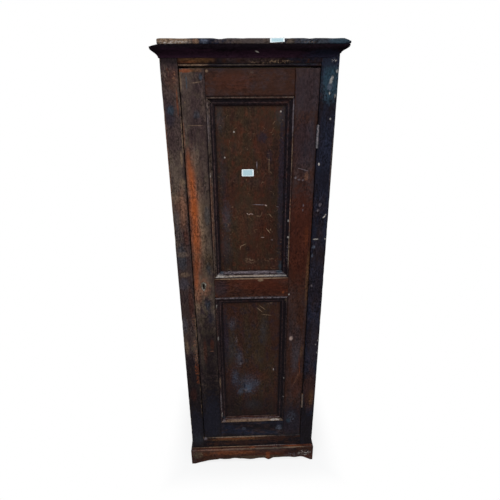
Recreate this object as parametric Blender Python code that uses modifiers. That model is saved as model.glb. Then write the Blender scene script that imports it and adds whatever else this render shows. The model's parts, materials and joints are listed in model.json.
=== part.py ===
"""A tall, narrow meat safe with one panelled door, built board by board.

Metres, +Z up. The front faces -Y, and the origin is on the floor under the middle of the whole piece.
"""

import math

import bmesh
import bpy
from mathutils import Matrix, Vector

# Fits
SEAT_GAP = 0.0003  # between pieces that touch
OVERCUT = 0.004  # how far a cutter runs past the face that it opens
LAP = 0.001  # how far joined blocks run into each other
WELD_DISTANCE = 0.00001
ROUND_SEGMENTS = 16
CURVE_STEPS = 6  # straight steps in a small curve
FINE_STEPS = 10  # straight steps in a curve that shows
SHARP_ANGLE = math.radians(35)  # edges sharper than this stay crisp

# Carcass
CARCASS_WIDTH = 0.570
CARCASS_DEPTH = 0.400  # face of the front frame to the rear of the back boards
OVERALL_HEIGHT = 1.810
SIDE_THICKNESS = 0.020
TOP_THICKNESS = 0.016
TOP_SETBACK = 0.002  # edge of the top board behind the lip of the cornice
TOP_EDGE_ROUND = 0.0025
BOARD_ARRIS = 0.0008  # softened edges of planed boards

# Back
BACK_THICKNESS = 0.012
BACK_BOARD_COUNT = 4
BACK_FOOT = 0.030  # lower end of the back boards above the floor
TONGUE_LENGTH = 0.005
TONGUE_THICKNESS = 0.004
JOINT_CHAMFER = 0.0015

# Face frame
FRAME_THICKNESS = 0.022
LEFT_STILE_WIDTH = 0.056
RIGHT_STILE_WIDTH = 0.057
TOP_RAIL_HEIGHT = 0.060
BOTTOM_RAIL_HEIGHT = 0.118
OPENING_BOTTOM = 0.155  # top of the bottom rail above the floor
BEAD_RADIUS = 0.0042
QUIRK_WIDTH = 0.0016
RUBBED_RADIUS = 0.008  # worn front arris of the bottom rail
FRAME_TENON_LENGTH = 0.032
FRAME_TENON_THICKNESS = 0.007
FRAME_TENON_SHOULDER = 0.012

# Cornice and plinth
CORNICE_PROJECTION = 0.024
CORNICE_HEIGHT = 0.035
CORNICE_FOOT = 0.0025
CORNICE_LIP = 0.006
CORNICE_FULLNESS = 0.75  # 0 is a straight slope, 1 an ogee with upright ends
PLINTH_PROJECTION = 0.009
PLINTH_HEIGHT = 0.097
PLINTH_COVE = 0.012
PLINTH_CROWN = 0.002  # thickness left at the top of the cove
ARCH_HEIGHT = 0.023
LEFT_FOOT = 0.014
LEFT_FOOT_SLOPE = 0.120
RIGHT_FOOT = 0.012
RIGHT_FOOT_SLOPE = 0.055

# Inside
BOTTOM_BOARD_THICKNESS = 0.018
BOTTOM_BOARD_RISE = 0.008  # stands up behind the bottom rail and stops the door
HOUSING_DEPTH = 0.006
SHELF_COUNT = 3
SHELF_THICKNESS = 0.016
SHELF_CLEARANCE = 0.010  # front edge of a shelf behind the lock
BEARER_WIDTH = 0.018
BEARER_HEIGHT = 0.024
STOP_DEPTH = 0.014
STOP_HEIGHT = 0.032
STOP_REACH = 0.009  # below the top of the door opening
STOP_END = 0.030

# Vents in the side boards
VENT_RADIUS = 0.0125
VENT_PITCH = 0.052
VENT_COLUMNS = 3
VENT_ROWS = 5
GAUZE_THICKNESS = 0.0008
GAUZE_MARGIN = 0.022

# Door
DOOR_THICKNESS = 0.020
LOCK_SIDE_GAP = 0.003
HINGE_SIDE_GAP = 0.002
DOOR_TOP_GAP = 0.004
DOOR_BOTTOM_GAP = 0.003
DOOR_STILE_WIDTH = 0.080
DOOR_TOP_RAIL = 0.083
DOOR_LOCK_RAIL = 0.086
DOOR_BOTTOM_RAIL = 0.088
DOOR_TENON_LENGTH = 0.030
DOOR_TENON_THICKNESS = 0.007
DOOR_TENON_SHOULDER = 0.014
PANEL_THICKNESS = 0.006
PANEL_LIP = 0.003  # wood left behind the panel's groove
GROOVE_DEPTH = 0.009

# Panel moulding
MOULDING_WIDTH = 0.028
MOULDING_PROUD = 0.0006
MOULDING_QUIRK = 0.0012
MOULDING_TOP_FLAT = 0.0045
MOULDING_STEP = 0.0012
MOULDING_MID_HEIGHT = 0.0050
MOULDING_MID_FLAT = 0.003
MOULDING_OVOLO = 0.008
MOULDING_TOE = 0.0012

# Hinges
HINGE_LENGTH = 0.075
HINGE_INSET = 0.174  # from the end of the door
LEAF_THICKNESS = 0.002
LEAF_MARGIN = 0.003  # wood left behind a leaf
KNUCKLE_RADIUS = 0.004
KNUCKLE_CLEARANCE = 0.0005
KNUCKLE_COUNT = 3
WEB_SHOULDER = 0.0002  # the web to a knuckle is this much thinner than the leaf
PIN_RADIUS = 0.0018
PIN_HEAD_RADIUS = 0.003
PIN_HEAD_HEIGHT = 0.0016

# Keyhole and lock
KEY_BACKSET = 0.038  # keyhole from the edge of the door
KEYHOLE_RISE = 0.0105  # keyhole above the middle of the lock rail
KEYHOLE_HEIGHT = 0.022
KEYHOLE_BOW_RADIUS = 0.0034
KEYHOLE_SKIRT_RADIUS = 0.0030
KEYHOLE_NECK = 0.0016
ESCUTCHEON_WIDTH = 0.021
ESCUTCHEON_DROP = 0.0305  # its point below the key's axis
ESCUTCHEON_THICKNESS = 0.0012
ESCUTCHEON_PROUD = 0.0004
LOCK_INSET = 0.004
LOCK_WIDTH = 0.064
LOCK_DEPTH = 0.012
LOCK_WALL = 0.0015
LOCK_FOOT = 0.009  # lock case below the keyhole
LOCK_PLATE_THICKNESS = 0.002
KEY_PIN_RADIUS = 0.0014
BOLT_LENGTH = 0.046
BOLT_HEIGHT = 0.012
BOLT_THICKNESS = 0.006
BOLT_RISE = 0.006  # lower edge of the bolt above the key's axis
TALON_WIDTH = 0.009
TALON_DEPTH = 0.004
SPRING_LENGTH = 0.034
SPRING_RISE = 0.005
SPRING_THICKNESS = 0.0008
SPRING_WIDTH = 0.005

# Main planes
LEFT_X = -CARCASS_WIDTH / 2
RIGHT_X = CARCASS_WIDTH / 2
FRONT_Y = (CORNICE_PROJECTION - CARCASS_DEPTH) / 2
BACK_Y = FRONT_Y + CARCASS_DEPTH
FRAME_BACK_Y = FRONT_Y + FRAME_THICKNESS
INNER_BACK_Y = BACK_Y - BACK_THICKNESS
CARCASS_TOP = OVERALL_HEIGHT - TOP_THICKNESS - SEAT_GAP

# Door opening and door
OPENING_LEFT = LEFT_X + LEFT_STILE_WIDTH
OPENING_RIGHT = RIGHT_X - RIGHT_STILE_WIDTH
OPENING_TOP = CARCASS_TOP - TOP_RAIL_HEIGHT
DOOR_LEFT = OPENING_LEFT + LOCK_SIDE_GAP
DOOR_RIGHT = OPENING_RIGHT - HINGE_SIDE_GAP
DOOR_BOTTOM = OPENING_BOTTOM + DOOR_BOTTOM_GAP
DOOR_TOP = OPENING_TOP - DOOR_TOP_GAP
DOOR_FACE_Y = FRAME_BACK_Y - DOOR_THICKNESS
PANEL_LEFT = DOOR_LEFT + DOOR_STILE_WIDTH
PANEL_RIGHT = DOOR_RIGHT - DOOR_STILE_WIDTH
PANEL_HEIGHT = (DOOR_TOP - DOOR_BOTTOM - DOOR_TOP_RAIL - DOOR_LOCK_RAIL - DOOR_BOTTOM_RAIL) / 2
LOWER_PANEL_BOTTOM = DOOR_BOTTOM + DOOR_BOTTOM_RAIL
LOCK_RAIL_BOTTOM = LOWER_PANEL_BOTTOM + PANEL_HEIGHT
UPPER_PANEL_BOTTOM = LOCK_RAIL_BOTTOM + DOOR_LOCK_RAIL
PANEL_BACK_Y = FRAME_BACK_Y - PANEL_LIP
PANEL_FACE_Y = PANEL_BACK_Y - PANEL_THICKNESS
MOULDING_HEIGHT = PANEL_FACE_Y - DOOR_FACE_Y + MOULDING_PROUD

# Hinge line
PIN_X = (OPENING_RIGHT + DOOR_RIGHT) / 2
PIN_Y = min(FRONT_Y, DOOR_FACE_Y) - KNUCKLE_RADIUS - KNUCKLE_CLEARANCE
LEAF_BACK_Y = FRAME_BACK_Y - LEAF_MARGIN
HINGE_BOTTOMS = {
    "upper": DOOR_TOP - HINGE_INSET - HINGE_LENGTH,
    "lower": DOOR_BOTTOM + HINGE_INSET,
}

# Lock
KEYHOLE_X = DOOR_LEFT + KEY_BACKSET
KEYHOLE_Z = LOCK_RAIL_BOTTOM + DOOR_LOCK_RAIL / 2 + KEYHOLE_RISE
KEY_AXIS_Z = KEYHOLE_Z + KEYHOLE_HEIGHT / 2 - KEYHOLE_BOW_RADIUS
LOCK_LEFT = DOOR_LEFT + LOCK_INSET
LOCK_RIGHT = LOCK_LEFT + LOCK_WIDTH
PLATE_FRONT_Y = FRAME_BACK_Y + SEAT_GAP
CASE_FRONT_Y = PLATE_FRONT_Y + LOCK_PLATE_THICKNESS + SEAT_GAP
CASE_BACK_Y = CASE_FRONT_Y + LOCK_DEPTH
BOLT_BOTTOM = KEY_AXIS_Z + BOLT_RISE
BOLT_TOP = BOLT_BOTTOM + BOLT_HEIGHT
LOCK_BOTTOM = KEYHOLE_Z - KEYHOLE_HEIGHT / 2 - LOCK_FOOT
LOCK_TOP = BOLT_TOP + SPRING_RISE + LOCK_WALL

# Inside levels
BOTTOM_BOARD_TOP = OPENING_BOTTOM + BOTTOM_BOARD_RISE
SHELF_PITCH = (CARCASS_TOP - BOTTOM_BOARD_TOP) / (SHELF_COUNT + 1)
TOP_SHELF_Z = BOTTOM_BOARD_TOP + SHELF_COUNT * SHELF_PITCH
SHELF_FRONT_Y = CASE_BACK_Y + SHELF_CLEARANCE
SIDE_MIDDLE_Y = (FRAME_BACK_Y + INNER_BACK_Y) / 2
VENT_MIDDLE_Z = (TOP_SHELF_Z + CARCASS_TOP) / 2

# Finishes: colour, roughness, metallic
STAINED_WOOD = ((0.040, 0.021, 0.013), 0.48, 0.0)
RUBBED_WOOD = ((0.110, 0.052, 0.026), 0.55, 0.0)
PANEL_WOOD = ((0.052, 0.024, 0.014), 0.45, 0.0)
WEATHERED_WOOD = ((0.120, 0.095, 0.075), 0.75, 0.0)
RAW_WOOD = ((0.230, 0.150, 0.085), 0.80, 0.0)
DARK_IRON = ((0.045, 0.036, 0.030), 0.60, 0.85)
LOCK_IRON = ((0.110, 0.095, 0.080), 0.50, 0.90)
OLD_BRASS = ((0.130, 0.115, 0.085), 0.50, 0.8)
ZINC = ((0.420, 0.430, 0.430), 0.55, 0.9)

AXIS_X = Vector((1, 0, 0))
AXIS_Y = Vector((0, 1, 0))
AXIS_Z = Vector((0, 0, 1))


# Making and placing meshes

def clear_scene():
    """Empty the scene and give it one collection for the parts and one for the cutters."""
    for old in list(bpy.data.objects):
        bpy.data.objects.remove(old, do_unlink=True)
    groups = []
    for name in ("Meat safe", "Cutters"):
        group = bpy.data.collections.new(name)
        bpy.context.scene.collection.children.link(group)
        groups.append(group)
    return groups


PARTS, CUTTERS = clear_scene()


def mesh_object(name, bm, group, location=(0, 0, 0)):
    """Turn a bmesh into a linked object."""
    mesh = bpy.data.meshes.new(name)
    bm.to_mesh(mesh)
    bm.free()
    obj = bpy.data.objects.new(name, mesh)
    obj.location = location
    group.objects.link(obj)
    return obj


def as_part(obj, finish):
    """Give a part its own material and return it."""
    colour, roughness, metallic = finish
    material = bpy.data.materials.new(obj.name + "_finish")
    material.use_nodes = True
    shader = material.node_tree.nodes["Principled BSDF"]
    shader.inputs["Base Color"].default_value = (*colour, 1.0)
    shader.inputs["Roughness"].default_value = roughness
    shader.inputs["Metallic"].default_value = metallic
    obj.data.materials.append(material)
    return obj


def as_cutter(obj):
    """Keep a cutter, or a block that is joined on, out of the finished model."""
    obj.hide_render = True
    obj.display_type = "WIRE"
    return obj


def block(name, low, high, group):
    """A rectangular block between two opposite corners."""
    low, high = Vector(low), Vector(high)
    bm = bmesh.new()
    bmesh.ops.create_cube(bm, size=1.0)
    bmesh.ops.scale(bm, vec=high - low, verts=bm.verts)
    return mesh_object(name, bm, group, (low + high) / 2)


def board(name, low, high, finish, arris=BOARD_ARRIS, segments=1):
    """A planed board with softened edges."""
    obj = as_part(block(name, low, high, PARTS), finish)
    soften = obj.modifiers.new("arris", "BEVEL")
    soften.width = arris
    soften.segments = segments
    return obj


def cutter_block(name, low, high):
    """A rectangular cutter."""
    return as_cutter(block(name, low, high, CUTTERS))


def rods(name, ends, radius, group):
    """Round rods, each between two points, as one object."""
    bm = bmesh.new()
    for start, end in ends:
        run = Vector(end) - Vector(start)
        middle = (Vector(start) + Vector(end)) / 2
        turn = AXIS_Z.rotation_difference(run).to_matrix().to_4x4()
        bmesh.ops.create_cone(bm, cap_ends=True, segments=ROUND_SEGMENTS, radius1=radius, radius2=radius,
                              depth=run.length, matrix=Matrix.Translation(middle) @ turn)
    return mesh_object(name, bm, group)


def face_outwards(bm):
    """Turn every face of a closed shape outwards."""
    bm.normal_update()
    bmesh.ops.recalc_face_normals(bm, faces=bm.faces)


def outline_bmesh(outlines, thickness):
    """A flat shape, filled between its closed outlines and thickened evenly about its plane."""
    curve = bpy.data.curves.new("outline", "CURVE")
    curve.dimensions = "2D"
    curve.fill_mode = "BOTH"
    curve.extrude = thickness / 2
    for outline in outlines:
        spline = curve.splines.new("POLY")
        spline.points.add(len(outline) - 1)
        for point, (across, up) in zip(spline.points, outline):
            point.co = (across, up, 0.0, 1.0)
        spline.use_cyclic_u = True
    guide = bpy.data.objects.new("outline", curve)
    CUTTERS.objects.link(guide)
    bpy.context.view_layer.update()
    mesh = bpy.data.meshes.new_from_object(guide.evaluated_get(bpy.context.evaluated_depsgraph_get()))
    bm = bmesh.new()
    bm.from_mesh(mesh)
    bmesh.ops.remove_doubles(bm, verts=bm.verts, dist=WELD_DISTANCE)
    bpy.data.objects.remove(guide, do_unlink=True)
    bpy.data.curves.remove(curve)
    bpy.data.meshes.remove(mesh)
    face_outwards(bm)
    return bm


def upright_shape(name, outlines, front, back, group):
    """A shape drawn in X and Z as seen from the front, running from one Y to another."""
    bm = outline_bmesh(outlines, back - front)
    stand = Matrix.Translation((0, (front + back) / 2, 0)) @ Matrix.Rotation(math.pi / 2, 4, "X")
    bmesh.ops.transform(bm, matrix=stand, verts=bm.verts)
    face_outwards(bm)
    return mesh_object(name, bm, group)


def moulding(name, outline, start, along, out, up, length, mitres=(0, 0)):
    """A moulded length whose section is drawn outwards and upwards from its back edge.

    A mitre of 1 lengthens that end with the section, as at an outer corner, and -1 shortens it.
    """
    bm = outline_bmesh([outline], length)
    for vert in bm.verts:
        across, height, run = vert.co
        if run < 0:
            travel = SEAT_GAP - mitres[0] * across
        else:
            travel = length - SEAT_GAP + mitres[1] * across
        vert.co = Vector(start) + out * across + up * height + along * travel
    face_outwards(bm)
    return mesh_object(name, bm, PARTS)


def cut(piece, cutter):
    """Cut a piece with a cutter."""
    modifier = piece.modifiers.new(cutter.name, "BOOLEAN")
    modifier.operation = "DIFFERENCE"
    modifier.object = cutter


def join_on(piece, addition):
    """Join a block to a piece as one body."""
    modifier = piece.modifiers.new(addition.name, "BOOLEAN")
    modifier.operation = "UNION"
    modifier.object = as_cutter(addition)


def arc(centre, radius, start, end, steps):
    """Points along an arc, in degrees."""
    points = []
    for step in range(steps + 1):
        angle = math.radians(start + (end - start) * step / steps)
        points.append((centre[0] + radius * math.cos(angle), centre[1] + radius * math.sin(angle)))
    return points


def ease(start, end, steps, fullness):
    """An S curve between two points: fullness 0 is straight, 1 starts and ends upright."""
    points = []
    for step in range(steps + 1):
        share = step / steps
        eased = share - fullness * math.sin(2 * math.pi * share) / (2 * math.pi)
        points.append((start[0] + (end[0] - start[0]) * eased, start[1] + (end[1] - start[1]) * share))
    return points


def quarter(start, end, steps, upright_first):
    """A quarter curve that leaves its start upright and ends level, or the other way round."""
    points = []
    for step in range(steps + 1):
        angle = math.pi / 2 * step / steps
        if upright_first:
            across, height = 1 - math.cos(angle), math.sin(angle)
        else:
            across, height = math.sin(angle), 1 - math.cos(angle)
        points.append((start[0] + (end[0] - start[0]) * across, start[1] + (end[1] - start[1]) * height))
    return points


def grown(low, high, gap=SEAT_GAP):
    """The corners of a box, grown by a gap on every side."""
    margin = Vector((gap, gap, gap))
    return Vector(low) - margin, Vector(high) + margin


# Carcass

def side_boards():
    """Two side boards down to the floor, housed for the bottom board and drilled for air."""
    vents = vent_cutter()
    low_z = BOTTOM_BOARD_TOP - BOTTOM_BOARD_THICKNESS - SEAT_GAP
    for side, outer, inward in (("left", LEFT_X, 1), ("right", RIGHT_X, -1)):
        inner = outer + inward * SIDE_THICKNESS
        panel = board(side + "_side", (min(outer, inner), FRAME_BACK_Y + SEAT_GAP, 0),
                      (max(outer, inner), INNER_BACK_Y - SEAT_GAP, CARCASS_TOP), STAINED_WOOD)
        floor = inner - inward * HOUSING_DEPTH
        mouth = inner + inward * OVERCUT
        housing = cutter_block(side + "_housing", (min(floor, mouth), FRAME_BACK_Y - OVERCUT, low_z),
                               (max(floor, mouth), INNER_BACK_Y + OVERCUT, BOTTOM_BOARD_TOP + SEAT_GAP))
        cut(panel, housing)
        cut(panel, vents)


def vent_positions():
    """Depth and height of each vent hole, in rows of alternate length."""
    places = []
    for row in range(VENT_ROWS):
        columns = VENT_COLUMNS - row % 2
        height = VENT_MIDDLE_Z + (row - (VENT_ROWS - 1) / 2) * VENT_PITCH
        for column in range(columns):
            places.append((SIDE_MIDDLE_Y + (column - (columns - 1) / 2) * VENT_PITCH, height))
    return places


def vent_cutter():
    """All the drills that pass through both side boards."""
    ends = []
    for depth, height in vent_positions():
        ends.append(((LEFT_X - OVERCUT, depth, height), (RIGHT_X + OVERCUT, depth, height)))
    return as_cutter(rods("vent_drills", ends, VENT_RADIUS, CUTTERS))


def vent_gauze():
    """A zinc sheet over the vents, against the inner face of each side board."""
    half_depth = (VENT_COLUMNS - 1) / 2 * VENT_PITCH + VENT_RADIUS + GAUZE_MARGIN
    half_height = (VENT_ROWS - 1) / 2 * VENT_PITCH + VENT_RADIUS + GAUZE_MARGIN
    for side, outer, inward in (("left", LEFT_X, 1), ("right", RIGHT_X, -1)):
        near = outer + inward * (SIDE_THICKNESS + SEAT_GAP)
        far = near + inward * GAUZE_THICKNESS
        sheet = block("vent_gauze_" + side,
                      (min(near, far), SIDE_MIDDLE_Y - half_depth, VENT_MIDDLE_Z - half_height),
                      (max(near, far), SIDE_MIDDLE_Y + half_depth, VENT_MIDDLE_Z + half_height), PARTS)
        as_part(sheet, ZINC)


def top_board():
    """The thin top board: flush with the left side, over the cornice at the front and right."""
    reach = CORNICE_PROJECTION - TOP_SETBACK
    board("top_board", (LEFT_X, FRONT_Y - reach, OVERALL_HEIGHT - TOP_THICKNESS),
          (RIGHT_X + reach, BACK_Y, OVERALL_HEIGHT), WEATHERED_WOOD, TOP_EDGE_ROUND, 2)


def bottom_board():
    """The floor of the cupboard, housed in the side boards."""
    reach = SIDE_THICKNESS - HOUSING_DEPTH + SEAT_GAP
    under = BOTTOM_BOARD_TOP - BOTTOM_BOARD_THICKNESS
    board("bottom_board", (LEFT_X + reach, FRAME_BACK_Y + SEAT_GAP, under),
          (RIGHT_X - reach, INNER_BACK_Y - SEAT_GAP, BOTTOM_BOARD_TOP), RAW_WOOD)


def back_board_outline(width, has_groove, has_tongue):
    """Plan of one matched board: a groove in its left edge and a tongue on its right."""
    middle = BACK_THICKNESS / 2
    half_tongue = TONGUE_THICKNESS / 2
    half_groove = half_tongue + SEAT_GAP
    outline = [(JOINT_CHAMFER, 0), (width - JOINT_CHAMFER, 0), (width, JOINT_CHAMFER)]
    if has_tongue:
        tip = width + TONGUE_LENGTH
        outline += [(width, middle - half_tongue), (tip, middle - half_tongue),
                    (tip, middle + half_tongue), (width, middle + half_tongue)]
    outline += [(width, BACK_THICKNESS), (0, BACK_THICKNESS)]
    if has_groove:
        root = TONGUE_LENGTH + SEAT_GAP
        outline += [(0, middle + half_groove), (root, middle + half_groove),
                    (root, middle - half_groove), (0, middle - half_groove)]
    return outline + [(0, JOINT_CHAMFER)]


def back_boards():
    """Tongued and grooved boards over the rear edges of the sides."""
    pitch = CARCASS_WIDTH / BACK_BOARD_COUNT
    height = CARCASS_TOP - BACK_FOOT
    for index in range(BACK_BOARD_COUNT):
        outline = back_board_outline(pitch - SEAT_GAP, index > 0, index < BACK_BOARD_COUNT - 1)
        bm = outline_bmesh([outline], height)
        place = (LEFT_X + index * pitch + SEAT_GAP / 2, INNER_BACK_Y, BACK_FOOT + height / 2)
        as_part(mesh_object("back_board_" + str(index + 1), bm, PARTS, place), RAW_WOOD)


# Face frame

def tenon_box(end_x, inward, low_z, high_z, length, thickness, middle_y, shoulder):
    """The corners of a tenon that leaves a rail's end, which lies at end_x."""
    inner = end_x + inward * LAP
    tip = end_x - inward * length
    low = (min(inner, tip), middle_y - thickness / 2, low_z + shoulder)
    high = (max(inner, tip), middle_y + thickness / 2, high_z - shoulder)
    return low, high


def tenon_joint(rail, stiles, ends, heights, length, thickness, middle_y, shoulder):
    """Put a tenon on each end of a rail and cut its mortise in the stile beside it."""
    for stile, end_x, inward in zip(stiles, ends, (1, -1)):
        low, high = tenon_box(end_x, inward, *heights, length, thickness, middle_y, shoulder)
        label = rail.name + "_" + stile.name
        join_on(rail, block(label + "_tenon", low, high, CUTTERS))
        cut(stile, cutter_block(label + "_mortise", *grown(low, high)))


def top_rail_outline():
    """Section of the top rail, back from its face: a quirked bead runs along its lower edge."""
    bead_top = 2 * BEAD_RADIUS
    outline = [(FRAME_THICKNESS, 0)]
    outline += arc((BEAD_RADIUS, BEAD_RADIUS), BEAD_RADIUS, 270, 90, FINE_STEPS)
    outline += [(BEAD_RADIUS, bead_top + QUIRK_WIDTH), (0, bead_top + QUIRK_WIDTH)]
    return outline + [(0, TOP_RAIL_HEIGHT), (FRAME_THICKNESS, TOP_RAIL_HEIGHT)]


def bottom_rail_outline():
    """Section of the bottom rail, with its upper front arris rubbed round."""
    centre = (RUBBED_RADIUS, BOTTOM_RAIL_HEIGHT - RUBBED_RADIUS)
    outline = [(FRAME_THICKNESS, 0), (0, 0)]
    outline += arc(centre, RUBBED_RADIUS, 180, 90, CURVE_STEPS)
    return outline + [(FRAME_THICKNESS, BOTTOM_RAIL_HEIGHT)]


def face_frame():
    """Stiles down to the floor and two rails tenoned between them."""
    left = board("left_face_stile", (LEFT_X, FRONT_Y, 0),
                 (OPENING_LEFT, FRAME_BACK_Y, CARCASS_TOP), STAINED_WOOD)
    right = board("right_face_stile", (OPENING_RIGHT, FRONT_Y, 0),
                  (RIGHT_X, FRAME_BACK_Y, CARCASS_TOP), STAINED_WOOD)
    middle_y = (FRONT_Y + FRAME_BACK_Y) / 2
    width = OPENING_RIGHT - OPENING_LEFT
    ends = (OPENING_LEFT + SEAT_GAP, OPENING_RIGHT - SEAT_GAP)
    bottom_z = OPENING_BOTTOM - BOTTOM_RAIL_HEIGHT
    rails = (("top_face_rail", top_rail_outline(), OPENING_TOP, TOP_RAIL_HEIGHT, STAINED_WOOD),
             ("bottom_face_rail", bottom_rail_outline(), bottom_z, BOTTOM_RAIL_HEIGHT, RUBBED_WOOD))
    for name, outline, low_z, height, finish in rails:
        rail = moulding(name, outline, (OPENING_LEFT, FRONT_Y, low_z), AXIS_X, AXIS_Y, AXIS_Z, width)
        as_part(rail, finish)
        tenon_joint(rail, (left, right), ends, (low_z, low_z + height), FRAME_TENON_LENGTH,
                    FRAME_TENON_THICKNESS, middle_y, FRAME_TENON_SHOULDER)
    arch = arch_cutter()
    cut(left, arch)
    cut(right, arch)
    return right, arch


# Cornice and plinth

def cornice_outline():
    """Section of the cornice: an ogee between a small foot and an upright lip."""
    outline = [(SEAT_GAP, 0)]
    outline += ease((CORNICE_FOOT, 0), (CORNICE_PROJECTION, CORNICE_HEIGHT - CORNICE_LIP), FINE_STEPS,
                    CORNICE_FULLNESS)
    return outline + [(CORNICE_PROJECTION, CORNICE_HEIGHT), (SEAT_GAP, CORNICE_HEIGHT)]


def plinth_outline():
    """Section of the plinth: a flat face under a hollow top edge."""
    outline = [(SEAT_GAP, 0), (PLINTH_PROJECTION, 0)]
    cove_foot = (PLINTH_PROJECTION, PLINTH_HEIGHT - PLINTH_COVE)
    outline += quarter(cove_foot, (PLINTH_CROWN, PLINTH_HEIGHT), CURVE_STEPS, False)
    return outline + [(SEAT_GAP, PLINTH_HEIGHT)]


def wrap_round(name, outline, low_z, finish):
    """One section round the sides and front, mitred at the front corners; returns the front length."""
    lengths = (("left", LEFT_X, AXIS_Y, -AXIS_X, CARCASS_DEPTH, (1, 0)),
               ("right", RIGHT_X, AXIS_Y, AXIS_X, CARCASS_DEPTH, (1, 0)),
               ("front", LEFT_X, AXIS_X, -AXIS_Y, CARCASS_WIDTH, (1, 1)))
    for side, corner_x, along, out, length, mitres in lengths:
        corner = (corner_x, FRONT_Y, low_z)
        piece = moulding(name + "_" + side, outline, corner, along, out, AXIS_Z, length, mitres)
        as_part(piece, finish)
    return piece


def arch_cutter():
    """The shallow arch between the feet, through the plinth and the stiles behind it."""
    left = LEFT_X - PLINTH_PROJECTION + LEFT_FOOT
    right = RIGHT_X + PLINTH_PROJECTION - RIGHT_FOOT
    outline = [(left, -OVERCUT), (right, -OVERCUT)]
    outline += rise((right, 0), (right - RIGHT_FOOT_SLOPE, ARCH_HEIGHT), CURVE_STEPS)
    outline += reversed(rise((left, 0), (left + LEFT_FOOT_SLOPE, ARCH_HEIGHT), CURVE_STEPS))
    front = FRONT_Y - PLINTH_PROJECTION - OVERCUT
    return as_cutter(upright_shape("foot_arch", [outline], front, FRAME_BACK_Y + OVERCUT, CUTTERS))


def rise(start, end, steps):
    """A slope that eases into the level at its upper end."""
    points = []
    for step in range(steps + 1):
        share = step / steps
        lift = math.sin(math.pi / 2 * share)
        points.append((start[0] + (end[0] - start[0]) * share, start[1] + (end[1] - start[1]) * lift))
    return points


# Inside

def shelves():
    """Level shelves, each on a pair of bearers along the side boards."""
    left = LEFT_X + SIDE_THICKNESS + SEAT_GAP
    right = RIGHT_X - SIDE_THICKNESS - SEAT_GAP
    back = INNER_BACK_Y - SEAT_GAP
    for index in range(1, SHELF_COUNT + 1):
        top = BOTTOM_BOARD_TOP + index * SHELF_PITCH
        under = top - SHELF_THICKNESS
        board("shelf_" + str(index), (left, SHELF_FRONT_Y, under), (right, back, top), RAW_WOOD)
        seat = under - SEAT_GAP
        for side, low_x in (("left", left), ("right", right - BEARER_WIDTH)):
            board("shelf_bearer_" + side + "_" + str(index), (low_x, SHELF_FRONT_Y, seat - BEARER_HEIGHT),
                  (low_x + BEARER_WIDTH, back, seat), RAW_WOOD)


def door_stop():
    """A strip on the back of the top rail that the door closes against."""
    front = FRAME_BACK_Y + SEAT_GAP
    low = OPENING_TOP - STOP_REACH
    board("door_stop", (OPENING_LEFT + STOP_END, front, low),
          (OPENING_RIGHT - STOP_END, front + STOP_DEPTH, low + STOP_HEIGHT), RAW_WOOD)


# Door

def door_frame():
    """Two stiles and three rails, tenoned together and grooved for the panels."""
    lock_stile = board("door_lock_stile", (DOOR_LEFT, DOOR_FACE_Y, DOOR_BOTTOM),
                       (PANEL_LEFT, FRAME_BACK_Y, DOOR_TOP), STAINED_WOOD)
    hinge_stile = board("door_hinge_stile", (PANEL_RIGHT, DOOR_FACE_Y, DOOR_BOTTOM),
                        (DOOR_RIGHT, FRAME_BACK_Y, DOOR_TOP), STAINED_WOOD)
    middle_y = (DOOR_FACE_Y + FRAME_BACK_Y) / 2
    ends = (PANEL_LEFT + SEAT_GAP, PANEL_RIGHT - SEAT_GAP)
    rails = {}
    for name, low_z, height in (("top", DOOR_TOP - DOOR_TOP_RAIL, DOOR_TOP_RAIL),
                                ("lock", LOCK_RAIL_BOTTOM, DOOR_LOCK_RAIL),
                                ("bottom", DOOR_BOTTOM, DOOR_BOTTOM_RAIL)):
        rail = board("door_" + name + "_rail", (ends[0], DOOR_FACE_Y, low_z),
                     (ends[1], FRAME_BACK_Y, low_z + height), STAINED_WOOD)
        tenon_joint(rail, (lock_stile, hinge_stile), ends, (low_z, low_z + height), DOOR_TENON_LENGTH,
                    DOOR_TENON_THICKNESS, middle_y, DOOR_TENON_SHOULDER)
        rails[name] = rail
    door_panel("upper", UPPER_PANEL_BOTTOM, (lock_stile, hinge_stile, rails["top"], rails["lock"]))
    door_panel("lower", LOWER_PANEL_BOTTOM, (lock_stile, hinge_stile, rails["lock"], rails["bottom"]))
    return lock_stile, hinge_stile


def door_panel(level, low_z, frame_pieces):
    """A flat panel held in grooves all round, with its mitred moulding."""
    reach = GROOVE_DEPTH - SEAT_GAP
    low = (PANEL_LEFT - reach, PANEL_FACE_Y, low_z - reach)
    high = (PANEL_RIGHT + reach, PANEL_BACK_Y, low_z + PANEL_HEIGHT + reach)
    as_part(block("door_" + level + "_panel", low, high, PARTS), PANEL_WOOD)
    groove = cutter_block(level + "_panel_groove", *grown(low, high))
    for piece in frame_pieces:
        cut(piece, groove)
    panel_moulding(level, low_z)


def panel_moulding_outline():
    """Section of the panel moulding, in from the frame and up from the panel: hollow, flat, then ovolo."""
    toe = MOULDING_WIDTH
    ovolo_end = toe - MOULDING_OVOLO
    hollow_end = ovolo_end - MOULDING_MID_FLAT
    hollow_start = MOULDING_QUIRK + MOULDING_TOP_FLAT
    hollow_top = MOULDING_HEIGHT - MOULDING_STEP
    outline = [(SEAT_GAP, SEAT_GAP), (toe, SEAT_GAP)]
    outline += quarter((toe, MOULDING_TOE), (ovolo_end, MOULDING_MID_HEIGHT), CURVE_STEPS, True)
    outline += quarter((hollow_end, MOULDING_MID_HEIGHT), (hollow_start, hollow_top), CURVE_STEPS, False)
    outline += [(hollow_start, MOULDING_HEIGHT), (MOULDING_QUIRK, MOULDING_HEIGHT)]
    return outline + [(SEAT_GAP, hollow_top / 2)]


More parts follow.
